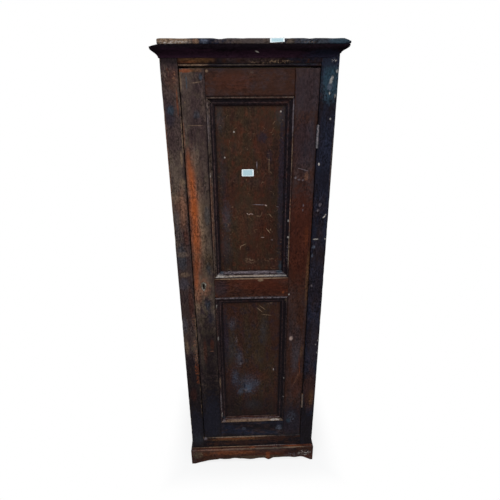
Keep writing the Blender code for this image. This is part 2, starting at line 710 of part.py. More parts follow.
def panel_moulding(level, low_z):
    """Four mitred lengths round the inside of one panel opening."""
    outline = panel_moulding_outline()
    high_z = low_z + PANEL_HEIGHT
    width = PANEL_RIGHT - PANEL_LEFT
    lengths = (("left", (PANEL_LEFT, low_z), AXIS_Z, AXIS_X, PANEL_HEIGHT),
               ("right", (PANEL_RIGHT, low_z), AXIS_Z, -AXIS_X, PANEL_HEIGHT),
               ("bottom", (PANEL_LEFT, low_z), AXIS_X, AXIS_Z, width),
               ("top", (PANEL_LEFT, high_z), AXIS_X, -AXIS_Z, width))
    for side, (corner_x, corner_z), along, inward, length in lengths:
        piece = moulding(level + "_moulding_" + side, outline, (corner_x, PANEL_FACE_Y, corner_z),
                         along, inward, -AXIS_Y, length, (-1, -1))
        as_part(piece, STAINED_WOOD)


# Hinges

def hinge_leaf(name, plate_low_x, face_y, bottom_z, knuckles):
    """One leaf: a plate let into the wood and its share of the knuckles round the pin."""
    plate_high_x = plate_low_x + LEAF_THICKNESS
    leaf = as_part(block(name, (plate_low_x, face_y, bottom_z),
                         (plate_high_x, LEAF_BACK_Y, bottom_z + HINGE_LENGTH), PARTS), DARK_IRON)
    pitch = HINGE_LENGTH / KNUCKLE_COUNT
    web_front = PIN_Y + (KNUCKLE_RADIUS + PIN_RADIUS) / 2
    for index in knuckles:
        low_z = bottom_z + index * pitch + SEAT_GAP / 2
        high_z = low_z + pitch - SEAT_GAP
        label = name + "_" + str(index)
        join_on(leaf, block(label + "_web", (plate_low_x + WEB_SHOULDER, web_front, low_z + WEB_SHOULDER),
                            (plate_high_x - WEB_SHOULDER, face_y + LAP, high_z - WEB_SHOULDER), CUTTERS))
        join_on(leaf, rods(label + "_barrel", [((PIN_X, PIN_Y, low_z), (PIN_X, PIN_Y, high_z))],
                           KNUCKLE_RADIUS, CUTTERS))
    ends = ((PIN_X, PIN_Y, bottom_z - OVERCUT), (PIN_X, PIN_Y, bottom_z + HINGE_LENGTH + OVERCUT))
    cut(leaf, as_cutter(rods(name + "_bore", [ends], PIN_RADIUS + SEAT_GAP, CUTTERS)))


def hinge_pin(name, bottom_z):
    """A turned pin with a low head that rests on the top knuckle."""
    seat = HINGE_LENGTH + SEAT_GAP
    profile = ((0, seat + PIN_HEAD_HEIGHT), (PIN_HEAD_RADIUS / 2, seat + PIN_HEAD_HEIGHT),
               (PIN_HEAD_RADIUS, seat), (PIN_RADIUS, seat), (PIN_RADIUS, 0), (0, 0))
    bm = bmesh.new()
    verts = [bm.verts.new((radius, 0, height)) for radius, height in profile]
    for upper, lower in zip(verts, verts[1:]):
        bm.edges.new((upper, lower))
    pin = mesh_object(name, bm, PARTS, (PIN_X, PIN_Y, bottom_z))
    turn = pin.modifiers.new("turned", "SCREW")
    turn.steps = ROUND_SEGMENTS
    turn.render_steps = ROUND_SEGMENTS
    turn.use_merge_vertices = True
    turn.merge_threshold = WELD_DISTANCE
    return as_part(pin, DARK_IRON)


def hinges(frame_stile, door_stile):
    """Two butt hinges, their leaves let into the edges of the stiles."""
    outer_knuckles = range(0, KNUCKLE_COUNT, 2)
    inner_knuckles = range(1, KNUCKLE_COUNT, 2)
    for level, bottom_z in HINGE_BOTTOMS.items():
        hinge_leaf(level + "_hinge_frame_leaf", OPENING_RIGHT, FRONT_Y, bottom_z, outer_knuckles)
        hinge_leaf(level + "_hinge_door_leaf", DOOR_RIGHT - LEAF_THICKNESS, DOOR_FACE_Y, bottom_z,
                   inner_knuckles)
        hinge_pin(level + "_hinge_pin", bottom_z)
        low_z = bottom_z - SEAT_GAP
        high_z = bottom_z + HINGE_LENGTH + SEAT_GAP
        depth = LEAF_THICKNESS + SEAT_GAP
        back = LEAF_BACK_Y + SEAT_GAP
        cut(frame_stile, cutter_block(level + "_frame_pocket",
                                      (OPENING_RIGHT - OVERCUT, FRONT_Y - OVERCUT, low_z),
                                      (OPENING_RIGHT + depth, back, high_z)))
        cut(door_stile, cutter_block(level + "_door_pocket",
                                     (DOOR_RIGHT - depth, DOOR_FACE_Y - OVERCUT, low_z),
                                     (DOOR_RIGHT + OVERCUT, back, high_z)))


# Keyhole and lock

def keyhole_outline(margin):
    """A keyhole: a round bow over a smaller round skirt, joined by a neck, grown by a margin."""
    bow = KEYHOLE_BOW_RADIUS + margin
    skirt = KEYHOLE_SKIRT_RADIUS + margin
    neck = KEYHOLE_NECK + margin
    bow_z = KEYHOLE_Z + KEYHOLE_HEIGHT / 2 - KEYHOLE_BOW_RADIUS
    skirt_z = KEYHOLE_Z - KEYHOLE_HEIGHT / 2 + KEYHOLE_SKIRT_RADIUS
    bow_open = math.degrees(math.asin(neck / bow))
    skirt_open = math.degrees(math.asin(neck / skirt))
    outline = arc((KEYHOLE_X, bow_z), bow, bow_open - 90, 270 - bow_open, FINE_STEPS)
    return outline + arc((KEYHOLE_X, skirt_z), skirt, 90 + skirt_open, 450 - skirt_open, FINE_STEPS)


def escutcheon_outline(margin):
    """A shield: a round head about the key's axis, drawn to a point at its foot, grown by a margin."""
    half = ESCUTCHEON_WIDTH / 2 + margin
    drop = ESCUTCHEON_DROP + margin
    flank = []
    for step in range(1, CURVE_STEPS):
        share = step / CURVE_STEPS
        flank.append((half * (1 - share**2), KEY_AXIS_Z - drop * share))
    outline = arc((KEYHOLE_X, KEY_AXIS_Z), half, 0, 180, FINE_STEPS)
    outline += [(KEYHOLE_X - out, z) for out, z in flank]
    outline.append((KEYHOLE_X, KEY_AXIS_Z - drop))
    return outline + [(KEYHOLE_X + out, z) for out, z in reversed(flank)]


def keyhole(lock_stile):
    """The keyhole through the lock stile, under an escutcheon let into its face."""
    hole = upright_shape("keyhole", [keyhole_outline(0)], DOOR_FACE_Y - OVERCUT,
                         FRAME_BACK_Y + OVERCUT, CUTTERS)
    cut(lock_stile, as_cutter(hole))
    front = DOOR_FACE_Y - ESCUTCHEON_PROUD
    back = front + ESCUTCHEON_THICKNESS
    seat = upright_shape("escutcheon_seat", [escutcheon_outline(SEAT_GAP)], DOOR_FACE_Y - OVERCUT,
                         back + SEAT_GAP, CUTTERS)
    cut(lock_stile, as_cutter(seat))
    plate = upright_shape("escutcheon", [escutcheon_outline(0), keyhole_outline(0)], front, back, PARTS)
    as_part(plate, OLD_BRASS)


def lock_plate():
    """The plate on the back of the door, with its own keyhole."""
    plate = as_part(block("lock_plate", (LOCK_LEFT, PLATE_FRONT_Y, LOCK_BOTTOM),
                          (LOCK_RIGHT, PLATE_FRONT_Y + LOCK_PLATE_THICKNESS, LOCK_TOP), PARTS), LOCK_IRON)
    hole = upright_shape("plate_keyhole", [keyhole_outline(0)], PLATE_FRONT_Y - OVERCUT,
                         CASE_FRONT_Y + OVERCUT, CUTTERS)
    cut(plate, as_cutter(hole))


def lock_case():
    """A box open towards the plate, with a pin for the key and a slot for the bolt."""
    case = as_part(block("lock_case", (LOCK_LEFT, CASE_FRONT_Y, LOCK_BOTTOM),
                         (LOCK_RIGHT, CASE_BACK_Y, LOCK_TOP), PARTS), LOCK_IRON)
    cut(case, cutter_block("lock_hollow",
                           (LOCK_LEFT + LOCK_WALL, CASE_FRONT_Y - OVERCUT, LOCK_BOTTOM + LOCK_WALL),
                           (LOCK_RIGHT - LOCK_WALL, CASE_BACK_Y - LOCK_WALL, LOCK_TOP - LOCK_WALL)))
    cut(case, cutter_block("bolt_slot", (LOCK_LEFT - OVERCUT, CASE_FRONT_Y - OVERCUT, BOLT_BOTTOM - SEAT_GAP),
                           (LOCK_LEFT + LOCK_WALL + LAP, CASE_FRONT_Y + BOLT_THICKNESS + 2 * SEAT_GAP,
                            BOLT_TOP + SEAT_GAP)))
    pin_ends = ((KEYHOLE_X, CASE_FRONT_Y + SEAT_GAP, KEY_AXIS_Z),
                (KEYHOLE_X, CASE_BACK_Y - LOCK_WALL / 2, KEY_AXIS_Z))
    join_on(case, rods("key_pin", [pin_ends], KEY_PIN_RADIUS, CUTTERS))


def lock_bolt():
    """The flat bolt, drawn back in its case, with a notch that the key's bit drives."""
    tail = LOCK_LEFT + BOLT_LENGTH
    notch_left = KEYHOLE_X - TALON_WIDTH / 2
    notch_right = KEYHOLE_X + TALON_WIDTH / 2
    notch_top = BOLT_BOTTOM + TALON_DEPTH
    outline = [(LOCK_LEFT, BOLT_BOTTOM), (notch_left, BOLT_BOTTOM), (notch_left, notch_top),
               (notch_right, notch_top), (notch_right, BOLT_BOTTOM), (tail, BOLT_BOTTOM),
               (tail, BOLT_TOP), (LOCK_LEFT, BOLT_TOP)]
    front = CASE_FRONT_Y + SEAT_GAP
    return as_part(upright_shape("lock_bolt", [outline], front, front + BOLT_THICKNESS, PARTS), LOCK_IRON)


def lock_spring():
    """The bowed back spring between the bolt and the top of the case."""
    low = BOLT_TOP + SEAT_GAP
    bow = SPRING_RISE - 2 * SEAT_GAP - SPRING_THICKNESS
    middle_x = (LOCK_LEFT + LOCK_RIGHT) / 2
    under = []
    for step in range(FINE_STEPS + 1):
        share = 2 * step / FINE_STEPS - 1
        under.append((middle_x + share * SPRING_LENGTH / 2, low + bow * share * share))
    over = [(across, height + SPRING_THICKNESS) for across, height in reversed(under)]
    front = CASE_FRONT_Y + SEAT_GAP
    as_part(upright_shape("lock_spring", [under + over], front, front + SPRING_WIDTH, PARTS), LOCK_IRON)


# Joints

def pivot(name, place):
    """An empty on a joint's axis that the moving pieces hang from."""
    empty = bpy.data.objects.new(name, None)
    empty.location = place
    PARTS.objects.link(empty)
    return empty


def hang(piece, carrier):
    """Parent a piece without moving it."""
    bpy.context.view_layer.update()
    piece.parent = carrier
    piece.matrix_parent_inverse = carrier.matrix_world.inverted()


DOOR_PREFIXES = ("door_lock_stile", "door_hinge_stile", "door_top_rail", "door_lock_rail", "door_bottom_rail",
                 "door_upper_panel", "door_lower_panel", "upper_moulding", "lower_moulding",
                 "upper_hinge_door_leaf", "lower_hinge_door_leaf", "escutcheon",
                 "lock_plate", "lock_case", "lock_spring")


def hang_moving_pieces(bolt):
    """The door turns about the hinge pins, and the bolt slides in the door."""
    door_pivot = pivot("door_pivot", (PIN_X, PIN_Y, DOOR_BOTTOM))
    bolt_guide = pivot("bolt_guide", (LOCK_LEFT, CASE_FRONT_Y + BOLT_THICKNESS / 2,
                                      (BOLT_BOTTOM + BOLT_TOP) / 2))
    hang(bolt, bolt_guide)
    hang(bolt_guide, door_pivot)
    for piece in list(PARTS.objects):
        if piece.name.startswith(DOOR_PREFIXES):
            hang(piece, door_pivot)


def smooth_rounds():
    """Shade every part smooth except across its sharp edges."""
    for piece in PARTS.objects:
        if piece.type == "MESH":
            piece.data.shade_smooth()
            piece.data.set_sharp_from_angle(angle=SHARP_ANGLE)


def main():
    """Build the whole cupboard."""
    side_boards()
    vent_gauze()
    top_board()
    bottom_board()
    back_boards()
    hinge_side_stile, arch = face_frame()
    wrap_round("cornice", cornice_outline(), CARCASS_TOP - CORNICE_HEIGHT, STAINED_WOOD)
    cut(wrap_round("plinth", plinth_outline(), 0, RUBBED_WOOD), arch)
    shelves()
    door_stop()
    lock_stile, hinge_stile = door_frame()
    hinges(hinge_side_stile, hinge_stile)
    keyhole(lock_stile)
    lock_plate()
    lock_case()
    bolt = lock_bolt()
    lock_spring()
    hang_moving_pieces(bolt)
    smooth_rounds()


main()
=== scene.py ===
"""Looks of the meat safe: worn stained timber, ironwork, perforated zinc, paper labels and a studio stage.

The file is laid out as an add-on and run as a script. Metres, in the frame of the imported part.
"""

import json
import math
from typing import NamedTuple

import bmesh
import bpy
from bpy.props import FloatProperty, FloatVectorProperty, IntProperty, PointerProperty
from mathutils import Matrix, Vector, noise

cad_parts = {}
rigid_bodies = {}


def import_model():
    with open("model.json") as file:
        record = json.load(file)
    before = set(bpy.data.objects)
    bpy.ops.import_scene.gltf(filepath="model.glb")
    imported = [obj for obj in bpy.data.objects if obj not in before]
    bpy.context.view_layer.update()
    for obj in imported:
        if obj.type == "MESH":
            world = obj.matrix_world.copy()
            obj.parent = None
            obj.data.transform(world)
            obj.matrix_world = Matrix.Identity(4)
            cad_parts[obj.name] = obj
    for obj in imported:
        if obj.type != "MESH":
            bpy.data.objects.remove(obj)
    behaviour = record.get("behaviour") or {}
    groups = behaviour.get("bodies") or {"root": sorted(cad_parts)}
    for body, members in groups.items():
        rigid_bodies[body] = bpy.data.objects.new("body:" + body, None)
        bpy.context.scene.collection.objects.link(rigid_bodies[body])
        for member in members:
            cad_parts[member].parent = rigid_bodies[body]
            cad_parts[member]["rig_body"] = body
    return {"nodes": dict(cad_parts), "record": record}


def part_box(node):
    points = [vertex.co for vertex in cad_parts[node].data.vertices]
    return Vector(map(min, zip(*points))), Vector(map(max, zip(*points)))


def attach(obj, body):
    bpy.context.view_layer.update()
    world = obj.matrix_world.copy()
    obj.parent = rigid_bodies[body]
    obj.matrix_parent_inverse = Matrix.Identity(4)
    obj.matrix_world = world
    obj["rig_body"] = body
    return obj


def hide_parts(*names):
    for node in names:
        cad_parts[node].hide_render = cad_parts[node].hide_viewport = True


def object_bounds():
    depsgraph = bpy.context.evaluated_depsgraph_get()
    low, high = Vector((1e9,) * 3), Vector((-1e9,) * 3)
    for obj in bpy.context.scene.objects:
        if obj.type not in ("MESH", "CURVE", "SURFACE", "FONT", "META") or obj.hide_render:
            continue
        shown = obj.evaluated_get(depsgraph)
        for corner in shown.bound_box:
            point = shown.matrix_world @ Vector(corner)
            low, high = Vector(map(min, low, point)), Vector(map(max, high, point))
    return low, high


bl_info = {
    "name": "Meat Safe Looks",
    "version": (1, 0, 0),
    "blender": (4, 5, 0),
    "location": "3D View > Sidebar > Meat Safe",
    "description": "Dresses the packed meat safe in worn timber, fittings and fasteners, on a plain stage",
    "category": "Object",
}

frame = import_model()
CAD_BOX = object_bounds()
SLOTS = {part["node"]: part["material_slot"] for part in frame["record"]["subparts"]}

# Axes that grain and mouldings run along
X, Y, Z = 0, 1, 2

# Ways that fasteners face
FRONTWARD = Vector((0, -1, 0))
REARWARD = Vector((0, 1, 0))
UPWARD = Vector((0, 0, 1))
LEFTWARD = Vector((-1, 0, 0))
RIGHTWARD = Vector((1, 0, 0))

SEAT = 0.0002  # how far a fastener's head sinks into its surface
BORDER = 0.0002  # a point nearer than this to a plane lies on it
WELD = 0.00001  # points nearer than this are one
SMOOTH_ANGLE = math.radians(35)
ARRIS_ANGLE = math.radians(25)
FLAT_ANGLE = math.radians(0.5)

# Planes of the front
FACE_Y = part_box("left_face_stile")[0].y
DOOR_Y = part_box("door_lock_stile")[0].y
PANEL_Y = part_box("door_upper_panel")[0].y
PLINTH_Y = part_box("plinth_front")[0].y
CORNICE_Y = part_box("cornice_front")[0].y
TOP_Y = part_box("top_board")[0].y


# Settings

def length(label, description, default):
    """A length that the user can set."""
    return FloatProperty(name=label, description=description, default=default, unit="LENGTH", precision=5)


def tint(label, description, default):
    """A colour that the user can set."""
    return FloatVectorProperty(name=label, description=description, default=default, subtype="COLOR",
                               min=0.0, max=1.0)


class MeatSafeSizes(bpy.types.PropertyGroup):
    """Sizes of the wear, the fasteners, the zinc and the labels."""

    chip_spacing: length("Chip spacing", "Length of arris between two points that wear apart", 0.009)
    chip_depth: length("Chip depth", "Deepest chip in the arris of a board", 0.0014)
    top_chip_depth: length("Top chip depth", "Deepest chip in the edge of the top board", 0.0012)
    sag_reach: length("Sag reach", "How far the worn front edge of the top board reaches back", 0.060)
    worn_margin: length("Worn margin", "How far worn stain reaches in from an arris", 0.005)
    left_tip_wear: length("Left tip wear", "How far the left tip of the cornice is rounded over", 0.006)
    right_tip_wear: length("Right tip wear", "Loss of the cornice's lower edge at the right", 0.012)
    right_tip_reach: length("Right tip reach", "Length over which that loss runs out", 0.024)
    top_overhang: length("Top overhang", "How far the right end of the top board is pulled out", 0.005)
    keyhole_wear: length("Keyhole wear", "How far each side of the keyhole is worn away", 0.0018)
    panel_warp: length("Panel warp", "Depth of the hollows in a hand-planed panel", 0.0008)
    panel_cell: length("Panel cell", "Spacing of the points that a panel's surface follows", 0.018)
    nail_radius: length("Nail radius", "Radius of a nail's head", 0.0034)
    nail_height: length("Nail height", "How far a nail's head stands up", 0.0010)
    brad_radius: length("Brad radius", "Radius of a brad's head in a moulding", 0.0013)
    brad_height: length("Brad height", "How far a brad's head stands up", 0.0005)
    screw_radius: length("Screw radius", "Radius of a screw's head", 0.0034)
    screw_height: length("Screw height", "How far a screw's head stands up", 0.0006)
    slot_width: length("Slot width", "Width of the slot in a screw's head", 0.0009)
    zinc_pitch: length("Zinc pitch", "Spacing of the holes in the zinc", 0.006)
    zinc_hole: length("Zinc hole", "Radius of a hole in the zinc", 0.0018)
    label_width: length("Label width", "Width of the label on the upper panel", 0.0422)
    label_height: length("Label height", "Height of the label on the upper panel", 0.0244)
    top_label_width: length("Top label width", "Width of the label on the edge of the top board", 0.0445)
    top_label_height: length("Top label height", "Height of the label on the edge of the top board", 0.0114)
    label_corner: length("Label corner", "Radius of a label's corners", 0.003)
    label_thickness: length("Label thickness", "Thickness of a label and its glue", 0.0003)
    seed: IntProperty(name="Seed", description="Fixed start of everything that looks random", default=7)


class MeatSafeTones(bpy.types.PropertyGroup):
    """Colours of the stain, the wear, the painted sheen and the fittings."""

    black: tint("Black", "Stain in grain, quirks and shade", (0.0060, 0.0040, 0.0055))
    brown: tint("Brown", "Common dark brown stain", (0.0360, 0.0145, 0.0095))
    umber: tint("Umber", "Greenish brown stain", (0.0330, 0.0190, 0.0110))
    red: tint("Red", "Red-brown stain", (0.0620, 0.0175, 0.0095))
    plum: tint("Plum", "Dull purple-brown stain", (0.0360, 0.0220, 0.0220))
    navy: tint("Navy", "Blue-black stain", (0.0100, 0.0120, 0.0230))
    # Painted sheen: a blue-green reflection on old stain, laid into the colour
    teal: tint("Teal", "Blue-green sheen of old stain", (0.0210, 0.0470, 0.0680))
    # Dust with painted sky sheen, laid on in blue-grey patches
    bloom: tint("Bloom", "Blue-grey bloom", (0.0700, 0.0800, 0.1080))
    weathered: tint("Weathered", "Greyed brown timber", (0.0850, 0.0600, 0.0470))
    olive: tint("Olive", "Half-rubbed stain", (0.0760, 0.0560, 0.0370))
    rubbed: tint("Rubbed", "Orange timber under rubbed stain", (0.1650, 0.0430, 0.0150))
    orange: tint("Orange", "Orange timber laid bare", (0.2900, 0.0660, 0.0150))
    grape: tint("Grape", "Purple-black stain", (0.0212, 0.0092, 0.0166))
    cherry: tint("Cherry", "Deep red stain", (0.0430, 0.0095, 0.0050))
    gold: tint("Gold", "Stain gone thin and golden", (0.0850, 0.0400, 0.0180))
    ochre: tint("Ochre", "Half-bare orange timber", (0.1700, 0.0780, 0.0470))
    tan: tint("Tan", "Bare worn timber", (0.2000, 0.1300, 0.0820))
    plug: tint("Plug", "Pink timber of a plugged hole", (0.3300, 0.2350, 0.2050))
    lavender: tint("Lavender", "Greyed chips along mouldings", (0.1500, 0.1250, 0.1400))
    haze: tint("Haze", "Blue haze on a panel", (0.0620, 0.0850, 0.1250))
    pale: tint("Pale", "Chips down to pale timber", (0.4000, 0.3600, 0.3300))
    slate: tint("Slate", "Grey edge of the top board", (0.0300, 0.0340, 0.0430))
    # Dust with painted sky sheen, laid on faces that look up
    dust: tint("Dust", "Dust on ledges", (0.1500, 0.1450, 0.1500))
    raw: tint("Raw", "Unfinished timber", (0.2400, 0.1550, 0.0880))
    raw_dark: tint("Raw dark", "Dark figure of unfinished timber", (0.1150, 0.0680, 0.0370))
    grime: tint("Grime", "Soot and grime on unfinished timber", (0.0500, 0.0370, 0.0280))
    iron: tint("Iron", "Dark iron", (0.0450, 0.0380, 0.0330))
    rust: tint("Rust", "Rust on iron", (0.0950, 0.0400, 0.0180))
    steel: tint("Steel", "Iron worn bright", (0.2400, 0.2250, 0.2050))
    brass: tint("Brass", "Dull brass", (0.2700, 0.2450, 0.2100))
    tarnish: tint("Tarnish", "Brass gone dark", (0.0600, 0.0560, 0.0430))
    zinc: tint("Zinc", "Zinc sheet", (0.4200, 0.4300, 0.4300))
    oxide: tint("Oxide", "White bloom on zinc", (0.6000, 0.6100, 0.6000))
    paper: tint("Paper", "Label paper", (0.8000, 0.8700, 0.8900))
    paper_tint: tint("Paper tint", "Pale field of a label", (0.4200, 0.6000, 0.6600))


class MeatSafeStage(bpy.types.PropertyGroup):
    """Camera, floor and light."""

    camera_place: FloatVectorProperty(name="Camera place", description="Where the camera stands",
                                      default=(-0.048, -1.476, 1.616), subtype="TRANSLATION", unit="LENGTH")
    camera_pitch: FloatProperty(name="Camera pitch", description="How far the camera looks down",
                                default=math.radians(21.49), subtype="ANGLE")
    camera_yaw: FloatProperty(name="Camera yaw", description="How far the camera looks to the right",
                              default=math.radians(1.92), subtype="ANGLE")
    camera_roll: FloatProperty(name="Camera roll", description="Tilt of the camera about its line of sight",
                               default=math.radians(0.41), subtype="ANGLE")
    lens: FloatProperty(name="Lens", description="Focal length in millimetres on a 36 mm sensor",
                        default=26.24)
    floor_size: length("Floor size", "Side of the square floor", 24.0)
    floor_tone: tint("Floor", "Colour of the floor", (0.92, 0.92, 0.92))
    floor_bounce: tint("Floor bounce", "Colour of the light that the floor throws back", (0.40, 0.39, 0.38))
    shadow_reach: length("Shadow reach", "How far from the object the floor fades to white", 0.14)
    floor_white: FloatProperty(name="Floor white", description="How white the floor is right at the object",
                               default=0.80, subtype="FACTOR")
    sky_level: FloatProperty(name="Sky level", description="Strength of the light from all round",
                             default=0.38)
    key_power: FloatProperty(name="Key power", description="Power of the overhead soft light in watts",
                             default=84.0, subtype="POWER")
    fill_power: FloatProperty(name="Fill power", description="Power of the front soft light in watts",
                              default=22.0, subtype="POWER")
    sky_tone: tint("Sky tone", "Colour of the light from above", (0.94, 0.97, 1.0))
    fill_tone: tint("Fill tone", "Colour of the light from the front", (1.0, 0.98, 0.95))


def sizes():
    """The size settings of this scene."""
    return bpy.context.scene.meat_safe_sizes


def tone(name):
    """One of the set colours, ready for a socket."""
    return (*getattr(bpy.context.scene.meat_safe_tones, name), 1.0)


# Node trees

class Tree:
    """A node tree being put together."""

    def __init__(self, tree):
        self.tree = tree
        self.nodes = tree.nodes

    def put(self, socket, value):
        """Link a socket to a field, or set its own value."""
        if isinstance(value, bpy.types.NodeSocket):
            self.tree.links.new(value, socket)
        else:
            socket.default_value = value

    def add(self, kind, values=None, **settings):
        """The outputs of a new node that has these inputs and settings."""
        node = self.nodes.new(kind)
        for name, value in settings.items():
            setattr(node, name, value)
        for name, value in (values or {}).items():
            self.put(node.inputs[name], value)
        return node.outputs

    def math(self, operation, *values):
        """One step of arithmetic."""
        return self.add("ShaderNodeMath", dict(enumerate(values)), operation=operation)[0]

    def split(self, vector):
        """The X, Y and Z of a vector."""
        return self.add("ShaderNodeSeparateXYZ", {"Vector": vector})

    def scaled(self, vector, level):
        """A vector or colour, made longer or shorter."""
        return self.add("ShaderNodeVectorMath", {0: vector, "Scale": level}, operation="SCALE")["Vector"]

    def is_seen(self):
        """Whether a ray comes from the camera, straight, by way of a mirror or through glass."""
        path = self.add("ShaderNodeLightPath")
        indirect = self.math("MAXIMUM", path["Is Glossy Ray"], path["Is Transmission Ray"])
        return self.math("MAXIMUM", path["Is Camera Ray"], indirect)


# Finishes

class Mark(NamedTuple):
    """A stained, rubbed or chipped place on the front of a piece, or a band of painted shade or painted
    sheen: an ellipse with ragged edges.
    """

    tone: str
    x: float
    z: float
    half_width: float
    half_height: float
    strength: float = 0.7
    ragged: float = 1.2
    lean: float = 0.0  # degrees, clockwise seen from the front
    broken: bool = False  # only flecks of it are left
    deep: float = 0.0  # how far it reaches back from the front, if not as far as the others
    soft: float = 0.7  # how slowly it fades out


class Look(NamedTuple):
    """How one piece of timber is stained and worn, and where shade and sheen are painted on it."""

    name: str
    grain: int
    front: float
    dark: str
    main: str
    warm: str
    bare: str = "tan"
    crest: str = "plum"  # tone of the inner ridge of a panel moulding: wear with painted highlight
    fillet: tuple = (0.0028, 0.0026)  # middle and half width of its outer ridge, from the outer edge
    warmth: float = 0.8  # how strong the warm mottle is
    # bloom: how strong the blue-grey patches of dust with painted sky sheen are
    bloom: float = 0.06
    gloss: float = 0.03
    rim: float = 0.55  # how dark the dirt and painted shade along its borders are
    hollow: float = 0.0  # how dark the painted shade in the hollows of a panel moulding is
    contrast: float = 1.0  # how strong its fine variation is
    speckle: float = 0.2  # how strong the pale specks are
    scratches: float = 0.0  # how strong the hairline scratches are
    deep: float = 0.008  # how far its marks reach back from the front
    marks: tuple = ()


MARK_EDGE = 1.2  # where a mark has faded out, in its own half sizes


class Finish(Tree):
    """A procedural finish, on the piece's own object coordinates."""

    def __init__(self, name):
        self.material = bpy.data.materials.new(name)
        self.material.use_nodes = True
        super().__init__(self.material.node_tree)
        self.shader = self.nodes["Principled BSDF"]
        self.place = self.add("ShaderNodeTexCoord")["Object"]

    def set(self, **values):
        """Set the shader's own sockets, named in lower case with underscores."""
        by_name = {socket.name.lower().replace(" ", "_"): socket for socket in self.shader.inputs}
        for name, value in values.items():
            self.put(by_name[name], value)

    def between(self, value, low, high, start=0.0, end=1.0):
        """Ease from start where the value is low to end where it is high."""
        ends = {"From Min": low, "From Max": high, "To Min": start, "To Max": end}
        eased = self.add("ShaderNodeMapRange", {"Value": value, **ends}, interpolation_type="SMOOTHSTEP")
        return eased["Result"]

    def mix(self, share, under, over):
        """Lay one colour over another."""
        node = self.nodes.new("ShaderNodeMix")
        node.data_type = "RGBA"
        colours = [socket for socket in node.inputs if socket.type == "RGBA"]
        self.put(node.inputs["Factor"], share)
        self.put(colours[0], under)
        self.put(colours[1], over)
        return next(socket for socket in node.outputs if socket.type == "RGBA")

    def mapped(self, kind, location, scale, lean=0.0):
        """The object coordinates moved, scaled and turned about Y."""
        return self.add("ShaderNodeMapping", {
            "Vector": self.place, "Location": location, "Rotation": (0, lean, 0), "Scale": scale},
            vector_type=kind)["Vector"]

    def noise(self, scale, shift, detail=4.0, roughness=0.55):
        """Noise with its own frequency, per metre, along each axis."""
        return self.add("ShaderNodeTexNoise", {
            "Vector": self.mapped("POINT", (shift, shift, shift), scale),
            "Scale": 1.0, "Detail": detail, "Roughness": roughness})["Fac"]

    def spot(self, mark, look, ragged, flecks):
        """How much of a mark lies at each point."""
        middle = (mark.x, look.front, mark.z)
        reach = (mark.half_width, mark.deep or look.deep, mark.half_height)
        off = self.mapped("TEXTURE", middle, reach, math.radians(mark.lean))
        distance = self.add("ShaderNodeVectorMath", {0: off}, operation="LENGTH")["Value"]
        distance = self.math("MULTIPLY_ADD", ragged, mark.ragged, distance)
        edge = MARK_EDGE + mark.ragged / 2
        cover = self.between(distance, edge, edge - mark.soft, 0.0, mark.strength)
        return self.math("MULTIPLY", cover, flecks) if mark.broken else cover

    def inside(self, low, high):
        """Distance in from the nearest border of a box, seen from the front."""
        place = self.split(self.place)
        gaps = []
        for axis, start, end in ((place["X"], low.x, high.x), (place["Z"], low.z, high.z)):
            off_centre = self.math("ABSOLUTE", self.math("SUBTRACT", axis, (start + end) / 2))
            gaps.append(self.math("SUBTRACT", (end - start) / 2, off_centre))
        return self.math("MINIMUM", *gaps)

    def hidden_side(self, low, high):
        """How near a point of a board is to its rear face."""
        return self.between(self.split(self.place)["Y"], (low.y + high.y) / 2, high.y)

    def upward(self):
        """How far a surface faces up."""
        return self.split(self.add("ShaderNodeNewGeometry")["Normal"])["Z"]

    def hairlines(self, frequency, shift, width):
        """Fine wandering scratches: the level lines of a slow noise, broken by another."""
        level = self.math("ABSOLUTE", self.math("SUBTRACT", self.noise(even(frequency), shift, 1.0), 0.5))
        kept = self.between(self.noise(even(3 * frequency), shift + 1.7, 2.0), 0.52, 0.62)
        return self.math("MULTIPLY", self.between(level, width, 0.0), kept)

    def ridge(self, across, ragged, middle, half_width):
        """Where a ridge of a panel moulding stands, given the distance in from its outer edge."""
        off = self.math("SUBTRACT", across, middle + RIDGE_WANDER / 2)
        wander = self.math("MULTIPLY_ADD", ragged, RIDGE_WANDER, off)
        return self.between(self.math("ABSOLUTE", wander), 1.4 * half_width, 0.6 * half_width)

    def wear(self):
        """Stain lost along the arrises, as the mesh holds it."""
        return self.add("ShaderNodeAttribute", attribute_name="wear")["Fac"]

    def relief(self, height, depth, strength):
        """Give the surface a fine relief."""
        bump = self.add("ShaderNodeBump", {"Height": height, "Distance": depth, "Strength": strength})
        self.put(self.shader.inputs["Normal"], bump["Normal"])


RIM_WIDTH = 0.012  # of the dirt and painted shade along the borders of a board
RIDGE_WANDER = 0.002  # how far the pale band along a ridge of a panel moulding, rubbed and painted as highlight, strays sideways
MOULDING_CREST = (0.0183, 0.0018)  # middle and half width of the inner ridge, from the outer edge


def even(frequency):
    """The same frequency along each axis."""
    return (frequency, frequency, frequency)


def along(grain, across, lengthwise):
    """A frequency across the grain and a lower one along it."""
    scale = [across, across, across]
    scale[grain] = lengthwise
    return tuple(scale)


